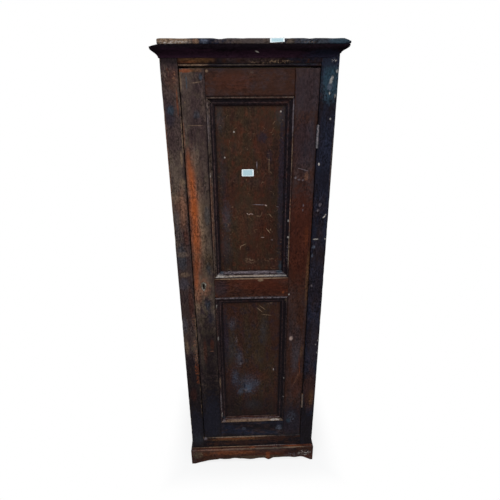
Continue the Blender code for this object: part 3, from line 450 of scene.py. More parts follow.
def stained_timber(look, border=None):
    """Old dark stain over timber: mottled, streaked, rubbed in places and worn along the arrises, with
    painted shade in moulding hollows and along borders and painted sheen on ridges, upward faces and
    blue-grey patches.
    """
    finish = Finish(look.name)
    clouds = finish.noise(along(look.grain, 24, 5), 0.7, 5, 0.6)
    mottle = finish.noise(along(look.grain, 45, 30), 3.1, 6, 0.68)
    streaks = finish.noise(along(look.grain, 200, 14), 7.7, 4, 0.6)
    ragged = finish.noise(even(105), 5.2, 5, 0.68)
    grit = finish.noise(along(look.grain, 190, 110), 1.9, 4, 0.72)
    patches = finish.noise(even(14), 8.8, 3)
    rough = finish.between(patches, 0.36, 0.64, 0.5 * look.contrast, 1.4 * look.contrast)
    flecks = finish.between(finish.noise(even(150), 9.3, 4, 0.7), 0.48, 0.56)
    colour = finish.mix(finish.between(clouds, 0.40, 0.60), tone(look.dark), tone(look.main))
    colour = finish.mix(finish.between(mottle, 0.48, 0.66, 0.0, look.warmth), colour, tone(look.warm))
    # Dust with painted sky sheen: blue-grey patches over the stain
    haze = finish.between(finish.noise(even(19), 11.4, 5, 0.6), 0.50, 0.70, 0.0, look.bloom)
    colour = finish.mix(haze, colour, tone("bloom"))
    if border and border[1].y > border[0].y:
        plain = finish.mix(finish.between(clouds, 0.35, 0.65), tone("black"), tone("brown"))
        colour = finish.mix(finish.hidden_side(*border), colour, plain)
    # Painted shade: the hollows of a panel moulding, between its two ridges, are laid over with black
    if look.hollow:
        across = finish.inside(*border)
        fillet = finish.ridge(across, ragged, *look.fillet)
        crest = finish.ridge(across, ragged, *MOULDING_CREST)
        ridges = finish.math("MAXIMUM", fillet, crest)
        colour = finish.mix(finish.between(ridges, 1.0, 0.0, 0.0, look.hollow), colour, tone("black"))
        # Rubbed wear with painted highlight: the fillet and the crest take paler tones
        kept = finish.between(ragged, 0.38, 0.62, 0.2, 0.9)
        colour = finish.mix(finish.math("MULTIPLY", fillet, kept), colour, tone(look.bare))
        colour = finish.mix(finish.math("MULTIPLY", crest, kept), colour, tone(look.crest))
    elif border:
        # Dirt and painted shade along the borders, where the board meets its neighbours
        reach = finish.math("MULTIPLY_ADD", ragged, RIM_WIDTH, finish.inside(*border))
        colour = finish.mix(finish.between(reach, 1.3 * RIM_WIDTH, 0.3 * RIM_WIDTH, 0.0, look.rim),
                            colour, tone("black"))
    dirt = finish.math("MULTIPLY", finish.between(mottle, 0.50, 0.34, 0.0, 0.50), rough)
    colour = finish.mix(dirt, colour, tone("black"))
    for mark in look.marks:
        colour = finish.mix(finish.spot(mark, look, ragged, flecks), colour, tone(mark.tone))
    lines = finish.math("MULTIPLY", finish.between(streaks, 0.50, 0.34, 0.0, 0.40), rough)
    colour = finish.mix(lines, colour, tone("black"))
    swing = finish.math("MULTIPLY", finish.between(grit, 0.30, 0.70, -0.65, 0.75), rough)
    colour = finish.scaled(colour, finish.math("ADD", swing, 1.0))
    colour = finish.mix(finish.between(grit, 0.60, 0.74, 0.0, look.speckle), colour, tone("weathered"))
    if look.scratches:
        hairlines = finish.hairlines(frequency=22, shift=2.6, width=0.008)
        colour = finish.mix(finish.math("MULTIPLY", hairlines, look.scratches), colour, tone("tan"))
    bare = finish.math("MULTIPLY", finish.wear(), finish.between(ragged, 0.34, 0.56))
    colour = finish.mix(finish.between(bare, 0.10, 0.50, 0.0, 0.9), colour, tone(look.bare))
    # Dust and painted sky sheen: paler where a surface faces up
    ledge = finish.between(finish.upward(), 0.25, 0.95, 0.0, 0.22)
    dust_and_sheen_share = finish.math("MULTIPLY", ledge, finish.between(mottle, 0.35, 0.65))
    colour = finish.mix(dust_and_sheen_share, colour, tone("dust"))
    finish.set(base_color=colour, specular_ior_level=look.gloss,
               roughness=finish.between(mottle, 0.35, 0.70, 0.36, 0.60))
    height = finish.math("MULTIPLY_ADD", streaks, 0.7, finish.math("MULTIPLY", ragged, 0.5))
    finish.relief(height, depth=0.0009, strength=0.55)
    return finish.material


RINGS = 100  # angle by which the figure of raw timber turns while its noise goes from 0 to 1


def raw_timber(name, grain, grimy, shift=0.0):
    """Unfinished softwood with its figure, gone brown and grimy with age."""
    finish = Finish(name)
    figure = finish.noise(along(grain, 9, 0.45), 3.9 + shift, 2, 0.45)
    rings = finish.math("SINE", finish.math("MULTIPLY", figure, RINGS))
    fibres = finish.noise(along(grain, 380, 9), 2.3 + shift, 4, 0.6)
    clouds = finish.noise(even(8), 4.8 + shift, 6, 0.62)
    stains = finish.noise(even(31), 6.1 + shift, 5, 0.65)
    colour = finish.mix(finish.between(rings, -0.4, 1.0, 0.0, 0.60), tone("raw"), tone("raw_dark"))
    colour = finish.mix(finish.between(fibres, 0.52, 0.34, 0.0, 0.55), colour, tone("raw_dark"))
    colour = finish.mix(finish.between(clouds, 0.34, 0.66, grimy * 0.35, grimy), colour, tone("grime"))
    colour = finish.mix(finish.between(stains, 0.60, 0.70, 0.0, 0.35), colour, tone("grime"))
    bare = finish.math("MULTIPLY", finish.wear(), finish.between(stains, 0.35, 0.60, 0.0, 0.5))
    colour = finish.mix(bare, colour, tone("raw"))
    finish.set(base_color=colour, specular_ior_level=0.18,
               roughness=finish.between(stains, 0.3, 0.7, 0.62, 0.85))
    height = finish.math("MULTIPLY_ADD", fibres, 0.8, finish.math("MULTIPLY", stains, 0.4))
    finish.relief(height, depth=0.0007, strength=0.5)
    return finish.material


def old_metal(name, base, patina, bright, metallic, rub):
    """Metal under patina, rubbed bright in places."""
    finish = Finish(name)
    patches = finish.noise(even(130), 1.1, 5, 0.65)
    pits = finish.noise(even(900), 2.9, 3)
    rubs = finish.noise(even(60), 8.2, 4)
    colour = finish.mix(finish.between(patches, 0.40, 0.62), tone(base), tone(patina))
    colour = finish.mix(finish.between(rubs, 0.46, 0.66, 0.0, rub), colour, tone(bright))
    colour = finish.mix(finish.between(pits, 0.44, 0.30, 0.0, 0.6), colour, tone("black"))
    finish.set(base_color=colour, metallic=metallic,
               roughness=finish.between(patches, 0.3, 0.7, 0.42, 0.68))
    height = finish.math("MULTIPLY_ADD", patches, 0.5, finish.math("MULTIPLY", pits, 0.5))
    finish.relief(height, depth=0.0004, strength=0.5)
    return finish.material


def label_paper(name, x, z, half_width, half_height):
    """White paper with a pale field and soft dirt."""
    finish = Finish(name)
    place = finish.split(finish.mapped("TEXTURE", (x, 0, z), (half_width, 1, half_height)))
    sideways = finish.math("ABSOLUTE", place["X"])
    upwards = finish.math("ABSOLUTE", place["Z"])
    dirt = finish.noise(even(160), 3.3, 5, 0.65)
    fibres = finish.noise(even(1500), 5.5, 2)
    field = finish.between(finish.math("MAXIMUM", sideways, upwards), 0.86, 0.74, 0.0, 0.95)
    colour = finish.mix(field, tone("paper"), tone("paper_tint"))
    colour = finish.mix(finish.between(dirt, 0.55, 0.72, 0.0, 0.30), colour, tone("weathered"))
    finish.set(base_color=colour, specular_ior_level=0.3,
               roughness=finish.between(dirt, 0.3, 0.7, 0.55, 0.75))
    finish.relief(fibres, depth=0.0001, strength=0.4)
    return finish.material


# Looks of the timber, with the marks that the front shows; bloom in them is dust with painted sky sheen

# Teal marks in these looks are painted sheen, a blue-green reflection
LEFT_STILE = Look("weathered_stile", Z, FACE_Y, "plum", "weathered", "olive", contrast=0.9, marks=(
    Mark("black", -0.257, 0.200, 0.090, 0.330, 0.93),
    Mark("black", -0.262, 0.490, 0.070, 0.160, 0.70),
    Mark("plum", -0.257, 0.940, 0.070, 0.260, 0.75),
    Mark("plum", -0.260, 1.565, 0.050, 0.130, 0.80),
    Mark("red", -0.250, 1.700, 0.026, 0.040, 0.35),
    # Painted shade: darker at the top of the stile, under the cornice
    Mark("plum", -0.258, 1.750, 0.060, 0.030, 0.70),
    Mark("black", -0.258, 1.757, 0.060, 0.022, 0.70),
    Mark("navy", -0.265, 1.590, 0.018, 0.040, 0.50),
    Mark("teal", -0.262, 1.605, 0.013, 0.015, 0.40),
    Mark("ochre", -0.256, 1.262, 0.022, 0.080, 0.35),
    Mark("teal", -0.270, 1.232, 0.012, 0.042, 0.25),
    Mark("navy", -0.272, 1.180, 0.018, 0.029, 0.35),
    Mark("teal", -0.265, 1.080, 0.020, 0.060, 0.30),
    Mark("bloom", -0.265, 0.970, 0.022, 0.028, 0.25),
    Mark("bloom", -0.274, 0.783, 0.013, 0.042, 0.30),
    Mark("red", -0.242, 1.165, 0.010, 0.038, 0.45),
    Mark("red", -0.242, 0.880, 0.012, 0.075, 0.50),
    Mark("red", -0.261, 0.417, 0.017, 0.042, 0.25),
    Mark("navy", -0.258, 0.230, 0.035, 0.110, 0.45, 2.0),
    Mark("slate", -0.258, 0.150, 0.040, 0.040, 0.40, 1.8, soft=1.2),
    Mark("black", -0.262, 0.860, 0.050, 0.130, 0.28, soft=1.2),
    Mark("tan", -0.272, 0.673, 0.0085, 0.038, 0.40),
    Mark("tan", -0.238, 1.450, 0.0050, 0.032, 0.50),
    Mark("tan", -0.241, 1.369, 0.0105, 0.018, 0.40),
    Mark("tan", -0.271, 1.313, 0.018, 0.020, 0.30),
    Mark("ochre", -0.244, 1.278, 0.015, 0.095, 0.75, 0.8, soft=1.2),
    Mark("tan", -0.260, 1.094, 0.024, 0.013, 0.25),
    Mark("tan", -0.258, 1.011, 0.022, 0.012, 0.30),
    Mark("red", -0.263, 1.726, 0.0047, 0.0060, 0.50),
    Mark("rubbed", -0.238, 1.630, 0.0036, 0.041, 0.50),
    Mark("ochre", -0.243, 1.705, 0.0075, 0.020, 0.80, broken=True),
    Mark("tan", -0.282, 1.710, 0.0047, 0.012, 0.40, broken=True),
    Mark("ochre", -0.235, 0.800, 0.0090, 0.045, 0.70, broken=True),
    Mark("ochre", -0.2395, 0.690, 0.0085, 0.030, 0.85, broken=True),
    Mark("ochre", -0.2385, 0.630, 0.0105, 0.045, 0.95, broken=True),
    Mark("rubbed", -0.2385, 0.555, 0.0100, 0.040, 0.85, broken=True),
    Mark("rubbed", -0.2380, 0.500, 0.0080, 0.025, 0.70, broken=True),
    Mark("ochre", -0.2835, 1.420, 0.0030, 0.220, 0.60),
))
RIGHT_STILE = Look("blue_black_stile", Z, FACE_Y, "black", "navy", "plum", "plum", warmth=0.25, bloom=0.03,
                   speckle=0.05, marks=(
    Mark("teal", 0.262, 1.690, 0.036, 0.070, 0.65),
    # Painted shade: darker at the top of the stile, under the cornice
    Mark("navy", 0.262, 1.752, 0.050, 0.024, 0.85),
    Mark("navy", 0.262, 1.450, 0.040, 0.160, 0.70),
    Mark("plum", 0.258, 1.000, 0.030, 0.220, 0.20),
    Mark("plum", 0.262, 0.680, 0.028, 0.140, 0.30),
    Mark("brown", 0.260, 0.420, 0.032, 0.130, 0.75),
    Mark("black", 0.262, 0.180, 0.050, 0.130, 0.85),
    Mark("black", 0.262, 1.370, 0.045, 0.060, 0.55, soft=1.2),
    Mark("black", 0.262, 0.950, 0.045, 0.095, 0.55, soft=1.2),
    Mark("gold", 0.268, 0.380, 0.013, 0.052, 0.50),
    Mark("pale", 0.268, 1.750, 0.010, 0.005, 0.75, broken=True),
    Mark("pale", 0.279, 1.720, 0.004, 0.006, 0.40),
    Mark("pale", 0.2625, 1.694, 0.006, 0.014, 0.50, 1.6, 20),
    Mark("bloom", 0.259, 1.674, 0.010, 0.011, 0.60),
    Mark("pale", 0.260, 1.655, 0.003, 0.005, 0.55),
    Mark("pale", 0.278, 1.646, 0.003, 0.007, 0.45),
    Mark("pale", 0.268, 1.575, 0.003, 0.004, 0.45),
    Mark("pale", 0.239, 1.426, 0.0036, 0.0055, 0.85, 0.3),
    Mark("lavender", 0.252, 1.280, 0.006, 0.007, 0.55),
    Mark("lavender", 0.245, 1.260, 0.006, 0.006, 0.50),
    Mark("pale", 0.270, 1.235, 0.0024, 0.008, 0.75, 0.4, 45),
    Mark("pale", 0.275, 1.243, 0.003, 0.003, 0.55),
    Mark("pale", 0.2435, 1.147, 0.0115, 0.003, 0.60, 0.8),
    Mark("pale", 0.280, 1.148, 0.003, 0.004, 0.50),
    Mark("bloom", 0.238, 1.115, 0.007, 0.008, 0.60),
    Mark("bloom", 0.235, 1.080, 0.006, 0.008, 0.50),
    Mark("lavender", 0.240, 0.950, 0.004, 0.008, 0.45),
    Mark("pale", 0.280, 0.690, 0.003, 0.005, 0.45),
    Mark("pale", 0.272, 0.670, 0.003, 0.004, 0.40),
    Mark("pale", 0.280, 0.628, 0.003, 0.005, 0.45),
    Mark("weathered", 0.282, 0.815, 0.003, 0.038, 0.55),
    Mark("weathered", 0.282, 1.420, 0.003, 0.115, 0.50),
))
TOP_RAIL = Look("top_rail", X, FACE_Y, "black", "brown", "black", "brown", speckle=0.1, marks=(
    Mark("gold", -0.172, 1.754, 0.066, 0.012, 0.92),
    Mark("rubbed", -0.200, 1.748, 0.040, 0.004, 0.30),
    Mark("tan", -0.1825, 1.7390, 0.055, 0.0026, 0.65, 0.5),
    Mark("plum", 0.000, 1.752, 0.110, 0.013, 0.70),
    Mark("olive", -0.020, 1.7390, 0.090, 0.0020, 0.40, 0.5),
    Mark("navy", 0.185, 1.753, 0.080, 0.018, 0.60),
    Mark("tan", 0.070, 1.7475, 0.075, 0.0060, 0.90, broken=True),
))
BOTTOM_RAIL = Look("bottom_rail", X, FACE_Y, "black", "black", "brown", speckle=0.25, marks=(
    Mark("brown", -0.060, 0.118, 0.160, 0.012, 0.50),
    Mark("gold", -0.075, 0.142, 0.140, 0.012, 0.80),
    Mark("rubbed", -0.085, 0.146, 0.120, 0.006, 0.35),
    Mark("brown", 0.090, 0.142, 0.090, 0.014, 0.70),
    Mark("tan", -0.060, 0.1530, 0.180, 0.0028, 0.75, 0.5),
    Mark("lavender", -0.225, 0.152, 0.012, 0.013, 0.55),
))
# The cornice: a dark grape stain with black clouds and black worn edges, darker than the frame as painted
# shade of a face that looks down
CORNICE = Look("cornice", X, CORNICE_Y, "black", "grape", "grape", "black", bloom=0.0, gloss=0.0,
               contrast=0.5, speckle=0.0, deep=0.08, marks=(
    # Painted light: the lower curve, which faces the front, lifted to plain grape
    Mark("grape", -0.060, 1.762, 0.300, 0.014, 0.85),
    Mark("navy", 0.240, 1.764, 0.080, 0.016, 0.70),
    # Painted shadow under the lip of the top board
    Mark("black", 0.000, 1.791, 0.350, 0.013, 0.97, 0.6),
    Mark("pale", 0.021, 1.774, 0.0075, 0.0019, 0.85, 0.3, 18, deep=0.05),
))
CORNICE_RETURN = Look("cornice_return", Y, CORNICE_Y, "black", "black", "brown", "brown", bloom=0.02,
                      speckle=0.05)
TOP_BOARD = Look("top_board", X, TOP_Y, "navy", "slate", "black", bare="slate", bloom=0.25, deep=0.02, marks=(
    Mark("weathered", 0.020, 1.802, 0.130, 0.014, 0.55, 2.0),
    Mark("tan", -0.236, 1.802, 0.062, 0.020, 0.70, 1.4),
    Mark("pale", -0.240, 1.7985, 0.055, 0.006, 0.60, 1.6, broken=True),
    Mark("rubbed", -0.167, 1.801, 0.010, 0.012, 0.35, 0.8),
    Mark("tan", -0.166, 1.799, 0.011, 0.012, 0.55, 0.8),
    Mark("bloom", -0.141, 1.802, 0.012, 0.010, 0.60),
    Mark("olive", 0.124, 1.801, 0.014, 0.012, 0.50),
    Mark("tan", 0.184, 1.799, 0.018, 0.003, 0.55, broken=True),
    Mark("teal", 0.275, 1.803, 0.036, 0.013, 0.50),
))
PLINTH = Look("plinth", X, PLINTH_Y, "brown", "red", "brown", "brown", contrast=0.8, speckle=0.05, marks=(
    Mark("gold", -0.110, 0.064, 0.150, 0.020, 0.35),
    Mark("brown", 0.060, 0.066, 0.060, 0.016, 0.55),
    Mark("black", 0.225, 0.055, 0.075, 0.034, 0.85),
    Mark("umber", -0.020, 0.030, 0.280, 0.012, 0.65),
    Mark("black", -0.270, 0.030, 0.035, 0.030, 0.50),
    Mark("olive", -0.262, 0.055, 0.026, 0.024, 0.65),
    Mark("tan", -0.248, 0.060, 0.010, 0.007, 0.50),
    Mark("rubbed", -0.090, 0.066, 0.130, 0.016, 0.42, 1.8),
    Mark("olive", 0.020, 0.032, 0.120, 0.010, 0.45),
    Mark("rubbed", 0.075, 0.040, 0.012, 0.030, 0.60),
    Mark("rubbed", 0.000, 0.0890, 0.020, 0.0060, 0.50, deep=0.03),
    Mark("lavender", 0.200, 0.036, 0.045, 0.014, 0.65, broken=True),
    Mark("pale", 0.252, 0.0470, 0.032, 0.020, 0.90, broken=True),
    Mark("rubbed", 0.190, 0.0905, 0.055, 0.0040, 0.70, 0.6, deep=0.04),
    Mark("black", 0.050, 0.0775, 0.240, 0.0030, 0.60, 0.8, deep=0.04),
    Mark("ochre", -0.090, 0.0840, 0.210, 0.0034, 0.90, 0.5, deep=0.04),
    Mark("olive", 0.060, 0.0840, 0.240, 0.0030, 0.70, 0.6, deep=0.04),
    Mark("tan", 0.205, 0.0845, 0.060, 0.0026, 0.80, 0.5, deep=0.04),
    Mark("tan", -0.060, 0.0965, 0.260, 0.0030, 0.90, 0.5, deep=0.04),
    Mark("lavender", 0.120, 0.0970, 0.160, 0.0024, 0.60, 0.6, deep=0.04),
))
PLINTH_RETURN = Look("plinth_return", Y, PLINTH_Y, "black", "brown", "red", "brown", speckle=0.05)
LOCK_STILE = Look("lock_stile", Z, DOOR_Y, "plum", "weathered", "olive", contrast=0.75, marks=(
    Mark("black", -0.186, 0.240, 0.090, 0.330, 0.94),
    Mark("black", -0.184, 0.640, 0.070, 0.190, 0.70),
    Mark("plum", -0.180, 1.625, 0.060, 0.125, 0.60),
    Mark("plum", -0.165, 1.400, 0.020, 0.110, 0.40),
    Mark("ochre", -0.199, 1.200, 0.036, 0.300, 0.65, 0.8, soft=1.4),
    Mark("ochre", -0.211, 1.400, 0.026, 0.110, 0.55, 0.8, soft=1.4),
    Mark("umber", -0.165, 1.060, 0.022, 0.050, 0.70),
    Mark("olive", -0.168, 1.200, 0.020, 0.150, 0.35),
    Mark("teal", -0.161, 1.244, 0.011, 0.042, 0.25),
    Mark("tan", -0.188, 1.249, 0.010, 0.060, 0.45),
    Mark("tan", -0.183, 1.150, 0.010, 0.070, 0.30),
    Mark("rubbed", -0.216, 1.440, 0.0100, 0.056, 0.60, 0.6, soft=1.2),
    Mark("orange", -0.210, 1.372, 0.0180, 0.080, 0.75, 0.5, soft=1.2),
    Mark("orange", -0.206, 1.270, 0.0210, 0.095, 0.90, 0.5, soft=1.2),
    Mark("orange", -0.207, 1.150, 0.0220, 0.095, 0.75, 0.5, soft=1.2),
    Mark("rubbed", -0.211, 1.050, 0.0200, 0.056, 0.85, 0.5, soft=1.2),
    Mark("orange", -0.214, 0.970, 0.0140, 0.080, 0.65, 0.6, soft=1.2),
    Mark("teal", -0.165, 1.033, 0.0150, 0.030, 0.36, 2.0, soft=1.3),
    Mark("ochre", -0.188, 0.953, 0.0285, 0.044, 0.62),
    Mark("ochre", -0.212, 0.912, 0.0175, 0.038, 0.70),
    Mark("tan", -0.218, 0.857, 0.0130, 0.034, 0.45),
    Mark("teal", -0.176, 0.870, 0.0160, 0.036, 0.42, 2.0, soft=1.3),
    Mark("olive", -0.206, 0.804, 0.0150, 0.035, 0.40),
    Mark("olive", -0.195, 0.750, 0.0200, 0.022, 0.20),
    Mark("navy", -0.167, 0.815, 0.0180, 0.040, 0.50),
    Mark("black", -0.163, 0.420, 0.0220, 0.110, 0.55),
    Mark("weathered", -0.221, 0.723, 0.0073, 0.031, 0.65),
    Mark("weathered", -0.2115, 0.630, 0.008, 0.075, 0.25),
    Mark("red", -0.1975, 0.645, 0.009, 0.068, 0.40),
    Mark("red", -0.167, 0.680, 0.0095, 0.031, 0.50),
    Mark("ochre", -0.169, 0.648, 0.0095, 0.0026, 0.60, 0.5),
    Mark("navy", -0.186, 0.260, 0.050, 0.160, 0.50, 2.0),
    # Painted shade in the quirk between the stile and the panel mouldings
    Mark("black", -0.1472, 1.320, 0.0018, 0.330, 0.90, 0.4),
    Mark("black", -0.1472, 0.580, 0.0018, 0.330, 0.80, 0.4),
    Mark("rubbed", -0.206, 1.723, 0.028, 0.0060, 0.80),
    Mark("gold", -0.174, 1.724, 0.028, 0.0060, 0.60),
    Mark("tan", -0.2245, 1.692, 0.0045, 0.029, 0.50),
    Mark("ochre", -0.225, 1.528, 0.0050, 0.051, 0.50),
    Mark("teal", -0.205, 1.688, 0.0030, 0.022, 0.50),
    Mark("teal", -0.159, 1.704, 0.0064, 0.012, 0.45),
    Mark("teal", -0.178, 1.591, 0.0123, 0.015, 0.25),
    Mark("tan", -0.174, 1.689, 0.0184, 0.0015, 0.50, 0.5, -8),
    Mark("tan", -0.184, 1.558, 0.0312, 0.0016, 0.40, 0.5),
    Mark("tan", -0.214, 1.630, 0.0026, 0.0040, 0.50),
    # Painted shade: the wood seen through the escutcheon's opening is black
    Mark("black", -0.188, 0.957, 0.0090, 0.0190, 0.98, 0.2, deep=0.05),
))
HINGE_STILE = Look("hinge_stile", Z, DOOR_Y, "brown", "plum", "brown", "brown", contrast=0.7,
                   speckle=0.08, marks=(
    Mark("navy", 0.186, 1.500, 0.050, 0.090, 0.40),
    Mark("brown", 0.184, 1.100, 0.060, 0.280, 0.75),
    Mark("cherry", 0.184, 1.150, 0.060, 0.220, 0.65),
    Mark("plum", 0.186, 1.670, 0.060, 0.090, 0.65),
    Mark("navy", 0.186, 1.660, 0.050, 0.080, 0.30),
    Mark("red", 0.192, 0.460, 0.030, 0.085, 0.25),
    Mark("black", 0.184, 0.240, 0.070, 0.130, 0.60),
    Mark("navy", 0.183, 0.240, 0.060, 0.100, 0.40),
    Mark("rubbed", 0.208, 1.159, 0.0105, 0.045, 0.20),
    Mark("gold", 0.220, 0.976, 0.0070, 0.140, 0.60),
    Mark("ochre", 0.197, 1.385, 0.0098, 0.015, 0.45),
    Mark("bloom", 0.187, 0.604, 0.0200, 0.090, 0.16, 2.0),
    Mark("gold", 0.2135, 0.630, 0.009, 0.034, 0.45),
    Mark("rubbed", 0.207, 0.560, 0.0025, 0.060, 0.40, 0.6, -4),
    Mark("ochre", 0.199, 0.495, 0.0050, 0.041, 0.35, 0.8, 20),
    Mark("red", 0.195, 0.415, 0.017, 0.038, 0.25),
    Mark("bloom", 0.182, 0.271, 0.0235, 0.038, 0.40, broken=True),
    Mark("teal", 0.168, 0.245, 0.011, 0.017, 0.40),
    Mark("lavender", 0.182, 1.409, 0.0230, 0.0017, 0.50, 0.5, 16),
    Mark("lavender", 0.158, 1.380, 0.0049, 0.0044, 0.50),
    Mark("lavender", 0.171, 1.373, 0.0054, 0.0031, 0.50),
    Mark("lavender", 0.185, 1.371, 0.0040, 0.0036, 0.50),
    Mark("lavender", 0.191, 1.279, 0.0028, 0.0061, 0.55),
    Mark("lavender", 0.190, 1.261, 0.0028, 0.0052, 0.45),
    Mark("pale", 0.150, 0.913, 0.0034, 0.0042, 0.70, 0.3),
    Mark("plug", 0.166, 0.703, 0.0085, 0.0118, 0.90, 0.25),
))
DOOR_TOP_RAIL = Look("door_top_rail", X, DOOR_Y, "brown", "brown", "plum", "brown", contrast=0.45,
                     speckle=0.05, marks=(
    Mark("red", -0.060, 1.690, 0.070, 0.030, 0.35),
    Mark("tan", -0.139, 1.722, 0.005, 0.005, 0.75, 0.6),
    Mark("weathered", 0.000, 1.715, 0.012, 0.018, 0.40, broken=True),
))
DOOR_LOCK_RAIL = Look("door_lock_rail", X, DOOR_Y, "brown", "red", "brown", contrast=0.8, speckle=0.1, marks=(
    Mark("navy", -0.120, 0.945, 0.032, 0.038, 0.45),
    Mark("plum", -0.125, 0.945, 0.026, 0.036, 0.50),
    Mark("cherry", 0.060, 0.944, 0.090, 0.036, 0.50),
    Mark("tan", 0.000, 0.9870, 0.170, 0.0030, 0.85, 0.6),
    Mark("tan", 0.036, 0.9810, 0.012, 0.0080, 0.80, 0.5),
    Mark("lavender", 0.000, 0.9050, 0.160, 0.0017, 0.50, 0.5),
    Mark("rubbed", 0.127, 0.923, 0.005, 0.006, 0.70),
))
DOOR_BOTTOM_RAIL = Look("door_bottom_rail", X, DOOR_Y, "black", "navy", "plum", "navy", speckle=0.25, marks=(
    Mark("bloom", 0.125, 0.205, 0.017, 0.016, 0.50),
    Mark("bloom", -0.040, 0.205, 0.012, 0.010, 0.35),
))
UPPER_PANEL = Look("upper_panel", Z, PANEL_Y, "brown", "umber", "red", warmth=0.6, bloom=0.04, contrast=0.5,
                   speckle=0.05, scratches=0.55, deep=0.004, marks=(
    Mark("black", 0.100, 1.250, 0.050, 0.340, 0.32, 2.0),
    Mark("slate", -0.104, 1.578, 0.019, 0.060, 0.40, 2.0, soft=1.3),
    Mark("navy", -0.100, 1.380, 0.021, 0.150, 0.45, 2.0, soft=1.3),
    Mark("slate", 0.104, 1.585, 0.027, 0.040, 0.42, 2.0, soft=1.3),
    Mark("navy", 0.041, 1.517, 0.018, 0.020, 0.50, 2.0),
    Mark("navy", 0.066, 1.454, 0.0115, 0.026, 0.40, 2.0),
    Mark("navy", 0.109, 1.330, 0.0120, 0.300, 0.55, 2.0),
    Mark("haze", -0.090, 1.235, 0.0240, 0.070, 0.26, 2.2, soft=1.4),
    Mark("slate", -0.094, 1.110, 0.0260, 0.090, 0.42, 2.0, soft=1.3),
    Mark("black", -0.090, 1.060, 0.030, 0.040, 0.35, 2.0),
    Mark("teal", 0.120, 1.035, 0.0140, 0.024, 0.50),
    Mark("black", -0.013, 1.109, 0.0105, 0.012, 0.60),
    Mark("cherry", 0.040, 1.190, 0.075, 0.110, 0.40, soft=1.4),
    Mark("red", -0.038, 1.518, 0.013, 0.060, 0.40),
    Mark("red", -0.035, 1.204, 0.019, 0.081, 0.35),
    Mark("olive", -0.020, 1.230, 0.060, 0.100, 0.10),
    Mark("pale", -0.056, 1.536, 0.0030, 0.0032, 0.65, 0.4),
    Mark("pale", 0.102, 1.600, 0.0030, 0.0032, 0.65, 0.4),
    Mark("pale", -0.090, 1.451, 0.0030, 0.0030, 0.55, 0.4),
    Mark("lavender", 0.022, 1.424, 0.0022, 0.0147, 0.75, 0.4),
    Mark("tan", 0.065, 1.424, 0.0018, 0.0320, 0.35, 0.5),
    Mark("lavender", 0.030, 1.281, 0.0240, 0.0017, 0.85, 0.5, 3),
    Mark("plug", 0.055, 1.278, 0.0050, 0.0026, 0.80, 0.4, 25),
    Mark("lavender", 0.098, 1.272, 0.0050, 0.0020, 0.60, 0.4, 10),
    Mark("plug", -0.012, 1.247, 0.0050, 0.0017, 0.85, 0.3, 40),
    Mark("plug", -0.004, 1.246, 0.0050, 0.0017, 0.85, 0.3, -40),
    Mark("plug", 0.004, 1.246, 0.0060, 0.0016, 0.80, 0.3, 12),
    Mark("tan", 0.026, 1.238, 0.0090, 0.0015, 0.45, 0.4, 6),
    Mark("tan", 0.073, 1.239, 0.0110, 0.0016, 0.60, 0.4, 50),
    Mark("tan", 0.064, 1.181, 0.0140, 0.0018, 0.85, 0.3, 52),
    Mark("tan", 0.073, 1.184, 0.0060, 0.0016, 0.60, 0.3, -70),
    Mark("plug", 0.044, 1.154, 0.0070, 0.0019, 0.75, 0.3, 4),
    Mark("lavender", 0.080, 1.143, 0.0028, 0.0024, 0.70, 0.3),
    Mark("tan", -0.030, 1.124, 0.0135, 0.0018, 0.80, 0.4, -24),
    Mark("tan", -0.041, 1.113, 0.0016, 0.0090, 0.70, 0.4, 12),
    Mark("tan", -0.005, 1.059, 0.0243, 0.0126, 0.50, 1.0, 12, True),
))
